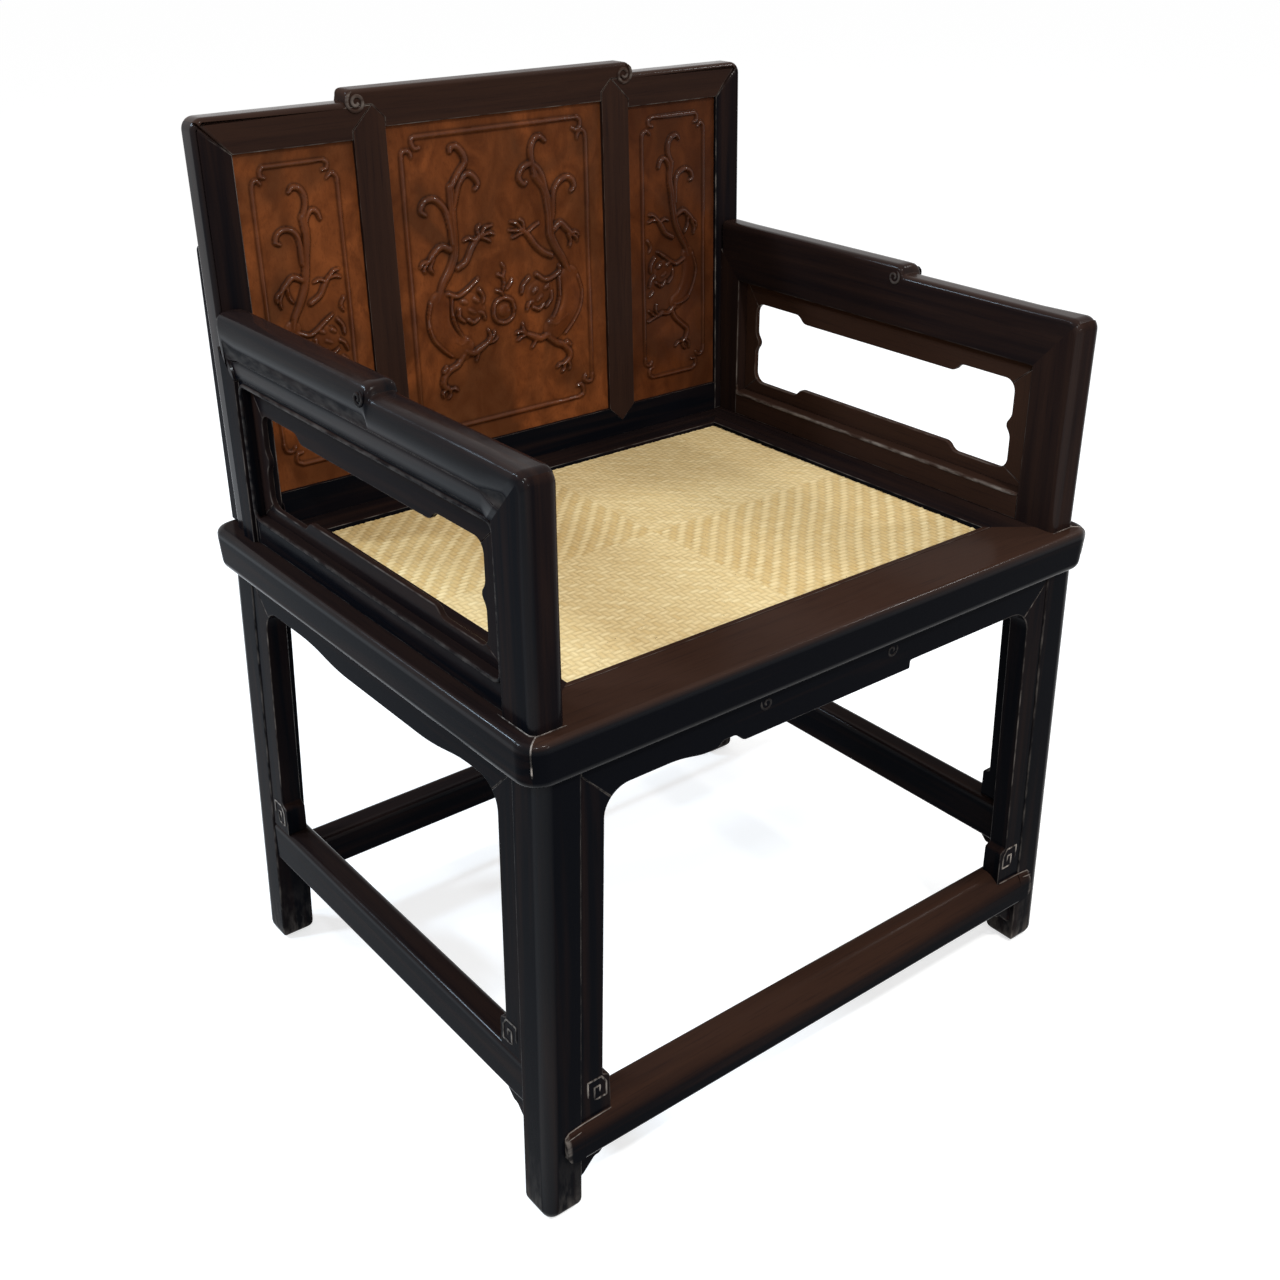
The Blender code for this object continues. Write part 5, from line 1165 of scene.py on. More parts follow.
def make_arm_posts(side, material):
    """The rounded front post with a worn line round its foot, and the rebated rear post."""
    place, name, n = arm_face(side), SIDE_NAMES[side], CORNER_STATIONS
    r, width = ARM_CORNER_RADIUS, ARM_POST_BACK - ARM_FRONT
    corner = arc((ARM_FRONT + r, ARM_TOP - r), r, 180, 135, n)
    outer = [(ARM_FRONT, ARM_BASE), (ARM_FRONT, 0.6), *corner]
    heights = (ARM_BASE, 0.6, *(ARM_RAIL_FOOT - np.linspace(0.006, 0, n)))
    inner = [(ARM_POST_BACK, z) for z in heights]
    post = band(outer, inner, width, post_rows(width, 0.008), place, 0.35)
    foot = [(ARM_POST_BACK, ARM_OUT), (ARM_FRONT + 0.004, ARM_OUT)]
    foot += [(ARM_FRONT, ARM_OUT - 0.004), (ARM_FRONT, ARM_IN)]

    def on_seat(u, v, depth):
        return stack(side * v, u, ARM_BASE - GAP + depth)

    shells = [post, ridge(straight(*foot), POST_LINE, on_seat, PALE_SEAM)]
    warm = ARM_WARM[side]
    add_piece(f"arm_post_front_{name}", "rounded", shells, material, "z", warm["front"])
    bend = arm_rail_stations()[2]
    outer = [(back_line(ARM_BASE), ARM_BASE), (back_line(bend), bend)]
    inner = [(REAR_POST_FRONT, ARM_BASE), (REAR_POST_FRONT, ARM_RAIL_FOOT)]
    width = back_line(ARM_BASE) - REAR_POST_FRONT
    post = band(outer, inner, width, post_rows(width, 0.001), place)
    add_piece(f"arm_post_rear_{name}", "rebated", [post], material, "z", warm["rear"])


def make_arm_foot(sizes, side, material):
    """An arm's foot rail, with the bead round the opening outside and a lower one inside."""
    place, rebate, thick = arm_face(side), ARM_REBATE, ARM_OUT - ARM_IN
    run = (ARM_POST_BACK + GAP, REAR_POST_FRONT - GAP)
    height = ARM_FOOT_RAIL_TOP - ARM_BASE
    rows = [(0, rebate, ARRIS), (height, rebate, 0.0012)]
    rows += [(height, thick, 0.0012), (0, thick, 0.0012)]
    low = ARM_FOOT_RAIL_TOP - sizes.bead / 2
    path = straight((run[1] - 0.001, low + 0.010), (run[1] - 0.001, low), (run[0], low))
    # The inner bead's crest is painted pale: a painted highlight.
    inside = (sizes.bead, INNER_BEAD_RISE)
    shells = [
        band(*level_lines(run, ARM_FOOT_RAIL_TOP, height), height, rows, place),
        frame_bead(sizes.bead, place),
        ridge(path, inside, lambda u, v, depth: place(u, v, thick + depth), PALE_INNER_BEAD),
    ]
    node = f"arm_foot_rail_{SIDE_NAMES[side]}"
    add_piece(node, "beaded", shells, material, "y", ARM_WARM[side]["foot"])


def frame_bead(width, place):
    """A bead run round the inner edge of an arm frame, its corners rounded, joined end to end."""
    half = width / 2
    low, high = ARM_FOOT_RAIL_TOP - half, ARM_RAIL_FOOT + half
    near, far = ARM_POST_BACK - half, REAR_POST_FRONT + half
    corners = [(near, low), (far, low), (far, high), (near, high)]
    path = eased([(u, v, BEAD_CORNER, 0) for u, v in corners], 9)[0]
    offset, rise, crest = half_round(width, BEAD_RISE)
    flat = path[:, None] - inward(path)[:, None] * offset[None, :, None]
    rings = place(flat[..., 0], flat[..., 1], ARM_REBATE - rise)
    # The crest is painted pale all along the bead: a painted highlight.
    return loft(rings, PALE_BEAD * crest, closed=True)


def lining_rows(frame_ends, frame_line, hole_ends, hole_line, cusp, start):
    """Outline of a lining strip: straight along its frame, cusped at the opening, mitred ends."""
    r = LINING_CORNER_RADIUS
    rise = 1 if hole_line > frame_line else -1
    rows = [(frame_ends[0] + GAP, frame_line, 0), (frame_ends[1] - GAP, frame_line, 0)]
    for end, way in ((hole_ends[1], -1), (hole_ends[0], 1)):
        t = np.radians(np.linspace(45, 90, 7))
        u = end + way * r * (1 - np.cos(t))
        v = hole_line + rise * r * (1 - np.sin(t))
        run = [(a, b, 0) for a, b in zip(u, v)]
        run.append((end + way * (start + LINING_CUSP_LENGTH * 0.25), hole_line, 0.006))
        run.append((end + way * (start + LINING_CUSP_LENGTH), hole_line + rise * cusp, 0.005))
        rows += run if way < 0 else run[::-1]
    return rounded(rows, LINING_EDGE)


def make_linings(side, material):
    """Four thin strips that line an arm frame and leave a cusped opening."""
    runs = (ARM_POST_BACK + GAP, REAR_POST_FRONT - GAP)
    levels = (ARM_FOOT_RAIL_TOP + GAP, ARM_RAIL_FOOT - GAP)
    holes, heights = (HOLE_FRONT, HOLE_REAR), (HOLE_FOOT, HOLE_TOP)
    lying, upright = (LINING_RUN_CUSP, LINING_RUN_START), (LINING_END_CUSP, LINING_END_START)
    place, warm = arm_face(side, LINING_OUT), ARM_WARM[side]["lining"]
    for k, key in enumerate(("foot", "top")):
        rows = lining_rows(runs, levels[k], holes, heights[k], *lying)
        shell = plate(rows, LINING_THICKNESS, place, 0.5)
        add_piece(f"arm_lining_{key}_{SIDE_NAMES[side]}", "cusped", [shell], material, "y", warm)
    for k, key in enumerate(("front", "rear")):
        rows = lining_rows(levels, runs[k], heights, holes[k], *upright)
        rows = [(v, u, cut, edge) for u, v, cut, edge in rows]
        shell = plate(rows, LINING_THICKNESS, place, 0.5)
        add_piece(f"arm_lining_{key}_{SIDE_NAMES[side]}", "cusped", [shell], material, "z", warm)


def mirrored(half):
    """A whole outline from its right half, listed from the foot up or from the top down."""
    return half + [(-row[0], *row[1:]) for row in half[::-1]]


def make_back_frame(sizes, material):
    """Stiles and rails of the back, outer edges well rounded, scrolls at the raised rail's ends."""
    soft, fine, thick = BACK_ROUNDING, sizes.edge, BACK_THICKNESS
    r = BACK_CORNER_RADIUS
    middle = (STILE_OUT - r, BACK_SIDE_TOP - r)
    mitre = (STILE_IN, SIDE_RAIL_FOOT, 0, fine)
    stile = [(STILE_IN, BACK_BASE, 0, fine), (STILE_OUT, BACK_BASE, 0, soft)]
    stile += [(u, v, 0, soft) for u, v in arc(middle, r, 0, 45)] + [mitre]
    near, far, base = INNER_STILE_IN, INNER_STILE_OUT, BOTTOM_RAIL_TOP
    spear = (near + far) / 2
    inner = [(near, base), (spear, base - SPEAR_FOOT), (far, base), (far, SPEAR_OUTER_SHOULDER)]
    inner += [(SPEAR_AT, SPEAR_TIP), (near, SPEAR_INNER_SHOULDER)]
    inner = [(u, v, 0.0004, INNER_STILE_ROUNDING) for u, v in inner]
    rail = [(far + GAP, SIDE_RAIL_FOOT, 0, fine), (far + GAP, SPEAR_OUTER_SHOULDER + GAP, 0, fine)]
    rail += [(SPEAR_AT + 2 * GAP, SPEAR_TIP, 0, fine), (SCROLL_END + GAP, SPEAR_TIP, 0, fine)]
    rail += [(SCROLL_END + GAP, BACK_SIDE_TOP, 0, soft)]
    rail += [(u, v, 0, soft) for u, v in arc(middle, r, 90, 45)] + [mitre]
    parts = {
        "back_stile_outer": (stile, "z", STILE_WARM),
        "back_stile_inner": (inner, "z", INNER_STILE_WARM),
        "back_rail": (rail, "x", BACK_RAIL_WARM),
    }
    depth = thick + GAP
    brace = [(depth, BACK_BASE, 0, fine), (depth + BRACE_FOOT_DEPTH, BACK_BASE, 0, BRACE_ROUNDING)]
    brace += [(depth + BRACE_TOP_DEPTH, BRACE_TOP, 0.008, BRACE_ROUNDING)]
    brace += [(depth, BRACE_TOP, 0, fine)]
    for side in (LEFT, RIGHT):
        name, place = SIDE_NAMES[side], back_face(side)
        for node, (rows, along, warm) in parts.items():
            shell = plate(rows, thick, place, shine=0.8)
            add_piece(f"{node}_{name}", "shaped", [shell], material, along, warm)
        shell = plate(brace, BRACE_WIDTH, lambda u, v, across: place(BRACE_OUT - across, v, u))
        add_piece(f"back_brace_{name}", "rounded", [shell], material, "z")
    half = [(near - GAP, CENTRE_RAIL_FOOT, 0, fine)]
    half += [(near - GAP, SPEAR_INNER_SHOULDER + GAP, 0, fine)]
    half += [(SPEAR_AT, SPEAR_TIP + GAP, 0, fine), (SCROLL_END, SPEAR_TIP + 2 * GAP, 0.001, fine)]
    half += [(SCROLL_END, BACK_CENTRE_TOP, 0.007, soft)]
    shells = [plate(mirrored(half), thick, back_face())]
    # The scrolls' crests are painted pale: a painted highlight.
    path = curl(SCROLL_CENTRE, SCROLL_RADIUS, 1.7, 70, -1)
    shells += [ridge(path, SCROLL_LINE, outwards(back_face(side))) for side in (LEFT, RIGHT)]
    add_piece("back_rail_centre", "scrolled", shells, material, "x", CENTRE_RAIL_WARM)
    top = base - GAP
    half = [(STILE_IN - GAP, BACK_BASE), (STILE_IN - GAP, top), (far + GAP, top)]
    half += [(spear, top - SPEAR_FOOT - GAP), (near - GAP, top)]
    rows = [(u, v, 0.0003, fine) for u, v in mirrored(half)]
    add_piece("back_rail_bottom", "notched", [plate(rows, thick, back_face())], material, "x")


# Carving as strokes, in millimetres across and up: half width, height, then points of the stroke

CENTRE_STROKES = [
    (2.4, 2.0, (-96, 852), (97, 852)),
    (2.2, 2.0, (-96, 852), (-100, 850), (-100, 845), (-97, 841), (-92, 841)),
    (2.2, 2.0, (-113, 832), (-112, 838), (-108, 840), (-103, 838), (-102, 833)),
    (2.0, 1.8, (-113, 832), (-113, 578)),
    (2.2, 2.0, (97, 852), (101, 849), (101, 843), (97, 839), (91, 842)),
    (2.2, 2.0, (108, 830), (107, 836), (103, 839), (98, 836), (97, 831)),
    (2.0, 1.8, (108, 830), (107, 578)),
    (2.4, 2.0, (-88, 555), (88, 555)),
    (2.2, 2.0, (88, 555), (94, 558), (94, 565), (90, 569), (86, 568)),
    (2.2, 2.0, (107, 578), (106, 571), (101, 570), (96, 574), (98, 579)),
    (2.2, 2.0, (-88, 555), (-95, 558), (-95, 565), (-91, 569), (-87, 568)),
    (2.2, 2.0, (-113, 578), (-111, 571), (-105, 570), (-100, 574), (-102, 579)),
    (3.4, 2.9, (-60, 800), (-50, 813), (-42, 822), (-43, 830), (-50, 838), (-57, 838), (-58, 834)),
    (3.2, 2.8, (-58, 780), (-54, 792), (-49, 804), (-41, 811), (-33, 808), (-28, 800), (-32, 795)),
    (3.2, 2.8, (-62, 745), (-64, 765), (-69, 781), (-80, 791), (-91, 790), (-96, 782), (-91, 777)),
    (4.6, 3.0, (-60, 800), (-60, 780), (-60, 740), (-66, 722), (-77, 706), (-84, 690)),
    (12.5, 2.3, (-82, 688), (-84, 668), (-80, 656), (-70, 644), (-57, 637)),
    (2.0, 2.9, (-93, 690), (-97, 672), (-93, 654), (-82, 640), (-72, 631)),
    (1.8, 2.9, (-68, 692), (-68, 674), (-64, 660), (-58, 650)),
    (4.2, 3.2, (-66, 646), (-60, 642), (-53, 645)),
    (3.6, 3.0, (-66, 740), (-75, 744), (-84, 739), (-91, 732)),
    (1.9, 2.8, (-91, 732), (-98, 731), (-101, 727)),
    (1.9, 2.8, (-91, 732), (-97, 726), (-96, 721)),
    (1.9, 2.8, (-86, 733), (-90, 725), (-87, 719)),
    (3.4, 2.9, (-58, 720), (-48, 725), (-40, 738), (-33, 746), (-26, 750)),
    (1.9, 2.8, (-36, 745), (-43, 748), (-49, 746)),
    (1.9, 2.8, (-28, 750), (-22, 756), (-14, 757)),
    (1.9, 2.8, (-26, 749), (-18, 750), (-12, 748)),
    (1.9, 2.8, (-28, 747), (-21, 744), (-17, 741)),
    (1.9, 2.8, (-31, 750), (-32, 756), (-28, 759)),
    (14.0, 1.9, (-48, 680), (-42, 676)),
    (2.6, 3.3, (-72, 696), (-62, 692), (-54, 694), (-45, 699), (-35, 706)),
    (3.2, 3.4, (-56, 686), (-51, 684)),
    (3.2, 3.4, (-41, 686), (-37, 683)),
    (3.0, 3.2, (-48, 676), (-42, 672)),
    (2.4, 3.0, (-34, 694), (-30, 687), (-31, 680)),
    (2.4, 3.0, (-60, 678), (-60, 670), (-54, 664)),
    (2.4, 3.1, (-50, 666), (-44, 662), (-37, 665)),
    (2.2, 2.9, (-36, 672), (-31, 669), (-29, 663)),
    (3.6, 3.0, (-55, 634), (-46, 630), (-37, 633), (-28, 638)),
    (1.9, 2.8, (-28, 638), (-24, 645), (-26, 651)),
    (1.9, 2.8, (-28, 638), (-21, 643), (-18, 648)),
    (1.9, 2.8, (-28, 638), (-21, 638), (-15, 641)),
    (1.9, 2.7, (-38, 632), (-41, 626), (-43, 621)),
    (3.6, 3.0, (-58, 630), (-66, 621), (-76, 617), (-83, 610), (-84, 602), (-78, 597)),
    (1.9, 2.8, (-78, 597), (-72, 597), (-68, 594)),
    (1.9, 2.8, (-78, 597), (-77, 592), (-80, 588)),
    (1.9, 2.8, (-80, 600), (-86, 595), (-86, 590)),
    (2.6, 3.2, (-80, 620), (-84, 616)),
    (3.4, 2.9, (42, 800), (39, 812), (38, 826), (42, 835), (49, 838), (56, 833)),
    (3.2, 2.8, (54, 780), (52, 795), (46, 806), (37, 812), (27, 809), (22, 800), (27, 793))
    + ((31, 795),),
    (3.2, 2.8, (62, 755), (64, 778), (70, 789), (80, 794), (88, 791), (91, 784), (87, 779)),
    (4.6, 3.0, (42, 800), (53, 785), (58, 760), (58, 740), (64, 725), (72, 712), (80, 697)),
    (12.5, 2.3, (80, 690), (84, 670), (80, 656), (70, 646), (57, 638)),
    (2.0, 2.9, (91, 690), (96, 672), (92, 654), (82, 640), (72, 630)),
    (1.8, 2.9, (67, 692), (67, 674), (63, 660), (57, 650)),
    (4.2, 3.2, (53, 645), (60, 643), (67, 646), (76, 651)),
    (3.6, 3.0, (63, 743), (71, 748), (78, 742), (85, 736)),
    (1.9, 2.8, (85, 736), (91, 736), (95, 732)),
    (1.9, 2.8, (84, 735), (91, 731), (93, 726)),
    (1.9, 2.8, (81, 736), (84, 728), (82, 722)),
    (3.4, 2.9, (58, 716), (48, 721), (38, 730), (30, 741), (22, 748)),
    (1.9, 2.8, (30, 745), (37, 749), (44, 752)),
    (1.9, 2.8, (22, 748), (16, 755), (9, 757)),
    (1.9, 2.8, (22, 747), (14, 748), (7, 749)),
    (1.9, 2.8, (23, 745), (16, 743), (10, 741)),
    (1.9, 2.8, (25, 749), (24, 755), (21, 758)),
    (14.0, 1.9, (38, 678), (45, 681)),
    (2.6, 3.3, (38, 699), (48, 692), (58, 693), (67, 698), (68, 704)),
    (3.2, 3.4, (51, 685), (47, 683)),
    (3.2, 3.4, (36, 684), (32, 681)),
    (3.0, 3.2, (42, 676), (37, 672)),
    (2.4, 3.0, (28, 697), (20, 690), (18, 682)),
    (2.4, 3.0, (56, 678), (55, 670), (48, 663)),
    (2.4, 3.1, (45, 666), (39, 662), (32, 665)),
    (2.2, 2.9, (31, 672), (26, 669), (24, 663)),
    (3.6, 3.0, (50, 633), (40, 630), (32, 633), (22, 638)),
    (1.9, 2.8, (22, 638), (18, 644), (18, 650)),
    (1.9, 2.8, (22, 638), (14, 642), (9, 641)),
    (1.9, 2.8, (22, 638), (15, 636), (10, 633)),
    (1.9, 2.7, (33, 633), (32, 627), (28, 622)),
    (3.6, 3.0, (50, 630), (60, 622), (70, 617), (77, 609), (77, 602), (70, 597)),
    (1.9, 2.8, (70, 597), (64, 597), (60, 594)),
    (1.9, 2.8, (70, 597), (69, 591), (66, 588)),
    (1.9, 2.8, (73, 600), (77, 594), (76, 589)),
    (2.6, 3.2, (74, 620), (79, 616)),
    (2.3, 2.6, (8, 668), (5, 677), (-5, 681), (-15, 677), (-18, 668), (-15, 659), (-5, 655))
    + ((5, 659), (8, 668)),
    (7.0, 2.0, (-5, 668), (-4, 668)),
    (1.8, 2.4, (-13, 690), (-8, 688), (-5, 684)),
    (1.8, 2.4, (0, 690), (4, 694), (7, 699)),
    (1.8, 2.4, (-10, 706), (-5, 703), (-3, 697), (-5, 690)),
    (1.8, 2.2, (-4, 704), (-2, 711), (-5, 717)),
]

SIDE_STROKES = [
    (2.2, 2.0, (-257, 842), (-196, 842)),
    (2.0, 2.0, (-257, 842), (-260, 839), (-260, 834), (-256, 832)),
    (2.0, 2.0, (-270, 822), (-269, 828), (-265, 831), (-261, 827)),
    (1.9, 1.8, (-270, 822), (-270, 580)),
    (2.0, 2.0, (-196, 842), (-192, 839), (-193, 834), (-198, 833)),
    (2.0, 2.0, (-183, 820), (-184, 826), (-189, 829), (-194, 825)),
    (1.9, 1.8, (-183, 820), (-183, 580)),
    (2.2, 2.0, (-252, 556), (-194, 556)),
    (2.0, 2.0, (-252, 556), (-258, 560), (-257, 567), (-251, 568)),
    (2.0, 2.0, (-270, 580), (-268, 573), (-262, 571), (-258, 575)),
    (2.0, 2.0, (-194, 556), (-189, 560), (-190, 566), (-195, 568)),
    (2.0, 2.0, (-183, 580), (-184, 573), (-189, 571), (-193, 575)),
    (2.9, 2.9, (-223, 793), (-219, 803), (-219, 812), (-223, 819), (-230, 821), (-234, 817)),
    (2.7, 2.8, (-222, 775), (-220, 790), (-214, 798), (-208, 796), (-205, 789)),
    (2.7, 2.8, (-228, 750), (-229, 770), (-233, 780), (-242, 784), (-250, 781), (-253, 774))
    + ((-249, 771),),
    (3.9, 3.0, (-223, 793), (-221, 775), (-224, 758), (-226, 742), (-229, 727), (-236, 712))
    + ((-243, 700), (-246, 690)),
    (8.5, 2.2, (-246, 690), (-248, 672), (-244, 656), (-236, 644), (-228, 638)),
    (1.8, 2.8, (-253, 690), (-258, 672), (-253, 653), (-243, 638)),
    (3.4, 3.1, (-246, 642), (-236, 638), (-226, 637)),
    (3.0, 3.0, (-230, 735), (-240, 739), (-248, 733), (-253, 728)),
    (1.7, 2.7, (-253, 728), (-258, 724), (-259, 718)),
    (1.7, 2.7, (-252, 727), (-256, 719), (-255, 712)),
    (1.7, 2.7, (-247, 730), (-246, 722), (-242, 715)),
    (3.0, 2.9, (-224, 712), (-214, 718), (-208, 727), (-203, 734)),
    (1.7, 2.7, (-203, 734), (-197, 739), (-191, 740)),
    (1.7, 2.7, (-203, 733), (-196, 734), (-190, 732)),
    (1.7, 2.7, (-206, 730), (-213, 733), (-219, 731)),
    (11.0, 1.9, (-214, 678), (-208, 674)),
    (2.3, 3.2, (-241, 686), (-230, 682), (-222, 685), (-212, 692), (-203, 698)),
    (2.7, 3.3, (-218, 684), (-214, 682)),
    (2.7, 3.3, (-206, 684), (-202, 681)),
    (2.5, 3.1, (-213, 674), (-207, 671)),
    (2.1, 3.0, (-198, 692), (-193, 685), (-192, 677)),
    (2.1, 3.0, (-224, 676), (-223, 668), (-217, 662)),
    (2.1, 3.0, (-213, 664), (-207, 660), (-200, 664)),
    (2.0, 2.8, (-198, 672), (-193, 668), (-190, 661)),
    (2.8, 3.0, (-226, 634), (-217, 628), (-208, 629), (-200, 626)),
    (1.7, 2.7, (-200, 626), (-194, 630), (-189, 634)),
    (1.7, 2.7, (-200, 626), (-193, 624), (-188, 622)),
    (1.7, 2.7, (-202, 628), (-199, 634), (-200, 640)),
    (3.0, 3.0, (-222, 630), (-228, 620), (-238, 611), (-245, 604), (-243, 595), (-238, 591)),
    (1.7, 2.7, (-238, 591), (-232, 591), (-227, 587)),
    (1.7, 2.7, (-238, 591), (-239, 585), (-243, 582)),
    (1.7, 2.7, (-241, 593), (-247, 588), (-248, 582)),
    (1.7, 2.4, (-196, 655), (-190, 650)),
    (1.7, 2.4, (-189, 712), (-193, 705), (-190, 699)),
]


def stroke_line(points, step=0.8):
    """Points close together on a smooth curve (Catmull-Rom) through the given ones."""
    p = np.asarray(points, float)
    p = np.concatenate([2 * p[:1] - p[1:2], p, 2 * p[-1:] - p[-2:-1]])
    count = max(3, int(np.linalg.norm(np.diff(p, axis=0), axis=1).max() / step))
    t = np.linspace(0, 1, count)[None, :, None]
    a, b, c, d = (p[i : len(p) - 3 + i][:, None] for i in range(4))
    curve = 2 * b + (c - a) * t + (2 * a - 5 * b + 4 * c - d) * t**2
    curve += (3 * b - a - 3 * c + d) * t**3
    return (0.5 * curve).reshape(-1, 2)


def carved_height(x, z, strokes, mirror):
    """Height of the carving over a grid in millimetres: the tallest of its strokes at each point.

    A stroke is a half round, height sqrt(1 - (d / w)^2) at a distance d from its line. The width w
    of a slender stroke narrows towards its end, and the stoutest of these carry shallow ridges.
    """
    height = np.zeros((len(x), len(z)))
    for width, tall, *points in strokes:
        line = stroke_line(points) * np.array([mirror, 1])
        narrow = np.full(len(line), width)
        if width < SLENDER_STROKE:
            share = np.linspace(0, 1, len(line))
            narrow = width * (1 - 0.35 * np.clip((share - 0.6) / 0.4, 0, 1) ** 2)
        reach = width + 0.5
        i = slice(*np.searchsorted(x, [line[:, 0].min() - reach, line[:, 0].max() + reach]))
        j = slice(*np.searchsorted(z, [line[:, 1].min() - reach, line[:, 1].max() + reach]))
        gap = np.hypot(x[i, None, None] - line[:, 0], z[None, j, None] - line[:, 1]) / narrow
        near = gap.min(-1)
        form = tall * np.sqrt(np.clip(1 - near**2, 0, None))
        if STOUT_STROKE < width < SLENDER_STROKE:
            form = form * (0.86 + 0.14 * np.cos(3 * np.pi * near))
        height[i, j] = np.maximum(height[i, j], form)
    return height


def softened(height, rounds):
    """The height with each point drawn towards its four neighbours, a few times over."""
    for _ in range(rounds):
        padded = np.pad(height, 1, mode="edge")
        sides = padded[:-2, 1:-1] + padded[2:, 1:-1] + padded[1:-1, :-2] + padded[1:-1, 2:]
        height = (sides + 2 * height) / 6
    return height


def make_panel(node, span, head, strokes, mirror, grid, shading, sizes, material):
    """A panel whose front is a height over a grid, closed behind by a skirt and a flat back."""
    foot, plane = BOTTOM_RAIL_TOP, BACK_FACE + PANEL_SETBACK
    x = np.linspace(span[0] - PANEL_LAP, span[1] + PANEL_LAP, grid[0])
    z = np.linspace(foot - PANEL_LAP, head + PANEL_LAP, grid[1])
    soft = softened(carved_height(x * 1000, z * 1000, strokes, mirror), 1)
    curve = soft - softened(soft, 6)
    shade = shading[0] + (shading[1] - shading[0]) * (z - foot) / (head - foot)
    rise = soft / TALLEST_STROKE * sizes.relief
    u, v = np.meshgrid(x, z, indexing="ij")
    hand = np.sin(u * 210 + 3 * np.sin(v * 90)) + np.sin(v * 170 + 2 * np.sin(u * 120))
    top = back_face(plane=plane)(u, v, -(rise + 0.00012 * hand * (rise < 0.0002)))
    behind = back_face(plane=plane + PANEL_THICKNESS)
    shell, extra = closed_sheet(top, lambda p: behind(p[..., 0], p[..., 2], 0.0))
    # The hollow value is painted shade, with some dirt, round the foot of the carving, and shade is
    # painted shade, darker towards the top.
    values = {
        "relief": with_rim(np.clip(soft / 2.2, 0, 1), extra),
        "hollow_shade": with_rim(np.clip(-curve, 0, 0.5) / 0.5, extra),
        "crest": with_rim(np.clip(curve, 0, 0.7) / 0.7, extra),
        "shade": with_rim(np.broadcast_to(shade, soft.shape), extra),
    }
    add_piece(node, "carved", [shell], material, "z", values=values)


def make_panels(sizes, material):
    """The three carved panels; the side ones mirror each other."""
    span, finish = (-INNER_STILE_IN, INNER_STILE_IN), (sizes, material)
    carving = (CENTRE_STROKES, 1, CENTRE_GRID, CENTRE_SHADING)
    make_panel("back_panel_centre", span, CENTRE_RAIL_FOOT, *carving, *finish)
    for side in (LEFT, RIGHT):
        span = sorted((side * INNER_STILE_OUT, side * STILE_IN))
        carving = (SIDE_STROKES, -side, SIDE_GRID, SIDE_SHADING[side])
        make_panel(f"back_panel_{SIDE_NAMES[side]}", span, SIDE_RAIL_FOOT, *carving, *finish)


# Stage


def aimed(location, target):
    """A matrix that puts a lamp at a place, pointing at the target."""
    location = Vector(location)
    turn = (Vector(target) - location).to_track_quat("-Z", "Y")
    return Matrix.LocRotScale(location, turn, None)


def add_lamp(name, location, target, size, power, tint):
    lamp = bpy.data.lights.new(name, "AREA")
    lamp.shape = "RECTANGLE"
    lamp.size, lamp.size_y = size
    lamp.energy = power
    lamp.color = tint
    made = bpy.data.objects.new(name, lamp)
    made.matrix_world = aimed(location, target)
    bpy.context.scene.collection.objects.link(made)


def seen_directly(tree):
    """1 for rays from the camera, off a gloss or through glass, and 0 for the light on surfaces."""
    path = add_node(tree, "LightPath").node.outputs
    pair = (path["Is Camera Ray"], path["Is Glossy Ray"])
    some = add_node(tree, "Math", pair, operation="MAXIMUM")
    return add_node(tree, "Math", (some, path["Is Transmission Ray"]), operation="MAXIMUM")


def make_world():
    """White surroundings for the eye and for reflections, a softer grey for the light they give."""
    world = bpy.data.worlds.new("studio")
    bpy.context.scene.world = world
    world.use_nodes = True
    tree = world.node_tree
    background = tree.nodes["Background"]
    background.inputs["Color"].default_value = (1.0, 1.0, 1.0, 1.0)
    strength = add_node(tree, "MapRange", (seen_directly(tree), 0.0, 1.0, 0.6, 1.0))
    tree.links.new(strength, background.inputs["Strength"])


def make_floor():
    """A pale floor that keeps the chair's soft shadow."""
    mesh = bpy.data.meshes.new("floor")
    corners = [(FLOOR_HALF * x, FLOOR_HALF * y, 0) for x, y in ((-1, -1), (1, -1), (1, 1), (-1, 1))]
    mesh.from_pydata(corners, [], [(0, 1, 2, 3)])
    floor = bpy.data.objects.new("floor", mesh)
    bpy.context.scene.collection.objects.link(floor)
    made, tree, shader = new_material("pale_floor")
    shader.inputs["Base Color"].default_value = (0.65, 0.65, 0.65, 1.0)
    shader.inputs["Roughness"].default_value = 0.9
    shader.inputs["Specular IOR Level"].default_value = 0.0
    shader.inputs["Emission Color"].default_value = (1.0, 1.0, 1.0, 1.0)
    glow = add_node(tree, "MapRange", (seen_directly(tree), 0.0, 1.0, 0.0, 0.6))
    tree.links.new(glow, shader.inputs["Emission Strength"])
    mesh.materials.append(made)


def make_camera():
    """The camera, by its place, heading, tilt and slight roll."""
    heading, tilt, roll = CAMERA_HEADING, CAMERA_TILT, CAMERA_ROLL
    right = np.array([np.cos(heading), np.sin(heading), 0])
    level = np.array([np.sin(heading), -np.cos(heading), 0])
    back = level * np.cos(tilt) + np.array([0, 0, np.sin(tilt)])
    up = np.cross(back, right)
    across = right * np.cos(roll) + up * np.sin(roll)
    above = up * np.cos(roll) - right * np.sin(roll)
    turn = Matrix(np.stack([across, above, back], -1).tolist()).to_4x4()
    lens = bpy.data.cameras.new("camera")
    lens.lens, lens.sensor_width = CAMERA_LENS, CAMERA_SENSOR
    made = bpy.data.objects.new("camera", lens)
    made.matrix_world = Matrix.Translation(CAMERA_PLACE) @ turn
    bpy.context.scene.collection.objects.link(made)
    bpy.context.scene.camera = made


# Operators


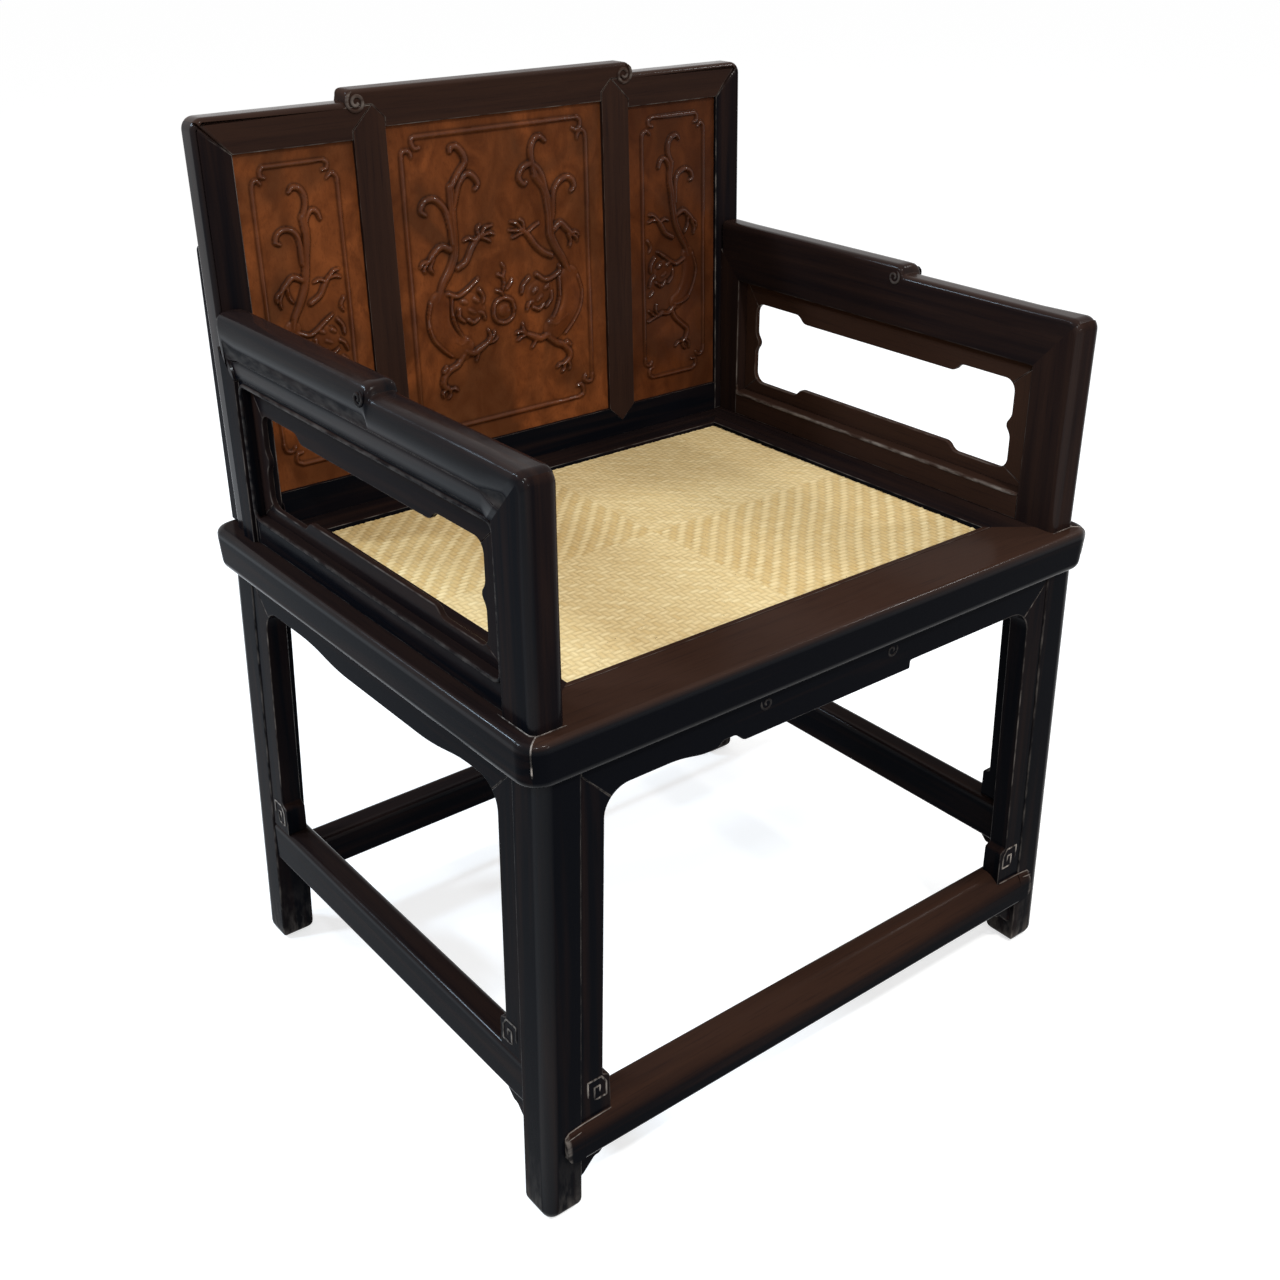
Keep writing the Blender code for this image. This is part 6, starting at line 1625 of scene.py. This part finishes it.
class CHAIR_OT_legs(bpy.types.Operator):
    """Build the four legs"""

    bl_idname = "chair.legs"
    bl_label = "Legs"

    def execute(self, context):
        material = dark_hardwood(context.scene.chair_colours)
        for side in (LEFT, RIGHT):
            for end in (FRONT, BACK):
                make_leg(side, end, material)
        return {"FINISHED"}


class CHAIR_OT_seat(bpy.types.Operator):
    """Build the seat rails and finish the board and brace between them"""

    bl_idname = "chair.seat"
    bl_label = "Seat frame"

    def execute(self, context):
        colours = context.scene.chair_colours
        make_seat_rails(dark_hardwood(colours))
        wood = plain_hardwood(colours)
        for name in ("seat_board", "seat_brace"):
            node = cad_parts[name]
            node.data.materials.clear()
            node.data.materials.append(wood)
        return {"FINISHED"}


class CHAIR_OT_mat(bpy.types.Operator):
    """Weave the seat mat"""

    bl_idname = "chair.mat"
    bl_label = "Mat"

    def execute(self, context):
        make_mat(context.scene.chair_sizes, woven_straw(context.scene.chair_colours))
        return {"FINISHED"}


class CHAIR_OT_aprons(bpy.types.Operator):
    """Build the aprons and the strips beside the legs"""

    bl_idname = "chair.aprons"
    bl_label = "Aprons"

    def execute(self, context):
        make_aprons(context.scene.chair_sizes, dark_hardwood(context.scene.chair_colours))
        return {"FINISHED"}


class CHAIR_OT_stretchers(bpy.types.Operator):
    """Build the stretchers and their brackets"""

    bl_idname = "chair.stretchers"
    bl_label = "Stretchers"

    def execute(self, context):
        material = dark_hardwood(context.scene.chair_colours)
        make_front_stretcher(material)
        make_plain_stretchers(material)
        make_brackets(context.scene.chair_sizes, material)
        return {"FINISHED"}


class CHAIR_OT_arms(bpy.types.Operator):
    """Build the arm frames and their linings"""

    bl_idname = "chair.arms"
    bl_label = "Arms"

    def execute(self, context):
        material = dark_hardwood(context.scene.chair_colours)
        for side in (LEFT, RIGHT):
            make_arm_rail(side, material)
            make_arm_posts(side, material)
            make_arm_foot(context.scene.chair_sizes, side, material)
            make_linings(side, material)
        return {"FINISHED"}


class CHAIR_OT_back(bpy.types.Operator):
    """Build the frame of the back"""

    bl_idname = "chair.back"
    bl_label = "Back frame"

    def execute(self, context):
        make_back_frame(context.scene.chair_sizes, dark_hardwood(context.scene.chair_colours))
        return {"FINISHED"}


class CHAIR_OT_panels(bpy.types.Operator):
    """Carve the three panels of the back"""

    bl_idname = "chair.panels"
    bl_label = "Panels"

    def execute(self, context):
        make_panels(context.scene.chair_sizes, burl(context.scene.chair_colours))
        return {"FINISHED"}


class CHAIR_OT_stage(bpy.types.Operator):
    """Set up the floor, the light and the camera"""

    bl_idname = "chair.stage"
    bl_label = "Stage"

    def execute(self, context):
        make_world()
        make_floor()
        make_camera()
        for name, settings in LAMPS.items():
            add_lamp(name, *settings)
        return {"FINISHED"}


class CHAIR_PT_panel(bpy.types.Panel):
    """Lists the steps of the build with their sizes and colours"""

    bl_idname = "CHAIR_PT_panel"
    bl_label = "Throne Chair"
    bl_space_type = "VIEW_3D"
    bl_region_type = "UI"
    bl_category = "Chair"

    def draw(self, context):
        for step in STEPS:
            self.layout.operator(step.bl_idname)
        for group in (context.scene.chair_sizes, context.scene.chair_colours):
            for key in group.bl_rna.properties.keys():
                if key not in ("rna_type", "name"):
                    self.layout.prop(group, key)


STEPS = (
    CHAIR_OT_legs,
    CHAIR_OT_seat,
    CHAIR_OT_mat,
    CHAIR_OT_aprons,
    CHAIR_OT_stretchers,
    CHAIR_OT_arms,
    CHAIR_OT_back,
    CHAIR_OT_panels,
    CHAIR_OT_stage,
)
CLASSES = (ChairColours, ChairSizes, *STEPS, CHAIR_PT_panel)


def register():
    for made in CLASSES:
        bpy.utils.register_class(made)
    bpy.types.Scene.chair_colours = bpy.props.PointerProperty(type=ChairColours)
    bpy.types.Scene.chair_sizes = bpy.props.PointerProperty(type=ChairSizes)


def unregister():
    del bpy.types.Scene.chair_sizes
    del bpy.types.Scene.chair_colours
    for made in reversed(CLASSES):
        bpy.utils.unregister_class(made)


def main():
    register()
    bpy.context.scene.view_settings.view_transform = "Standard"
    for step in STEPS:
        group, action = step.bl_idname.split(".")
        getattr(getattr(bpy.ops, group), action)()


if __name__ == "__main__":
    main()
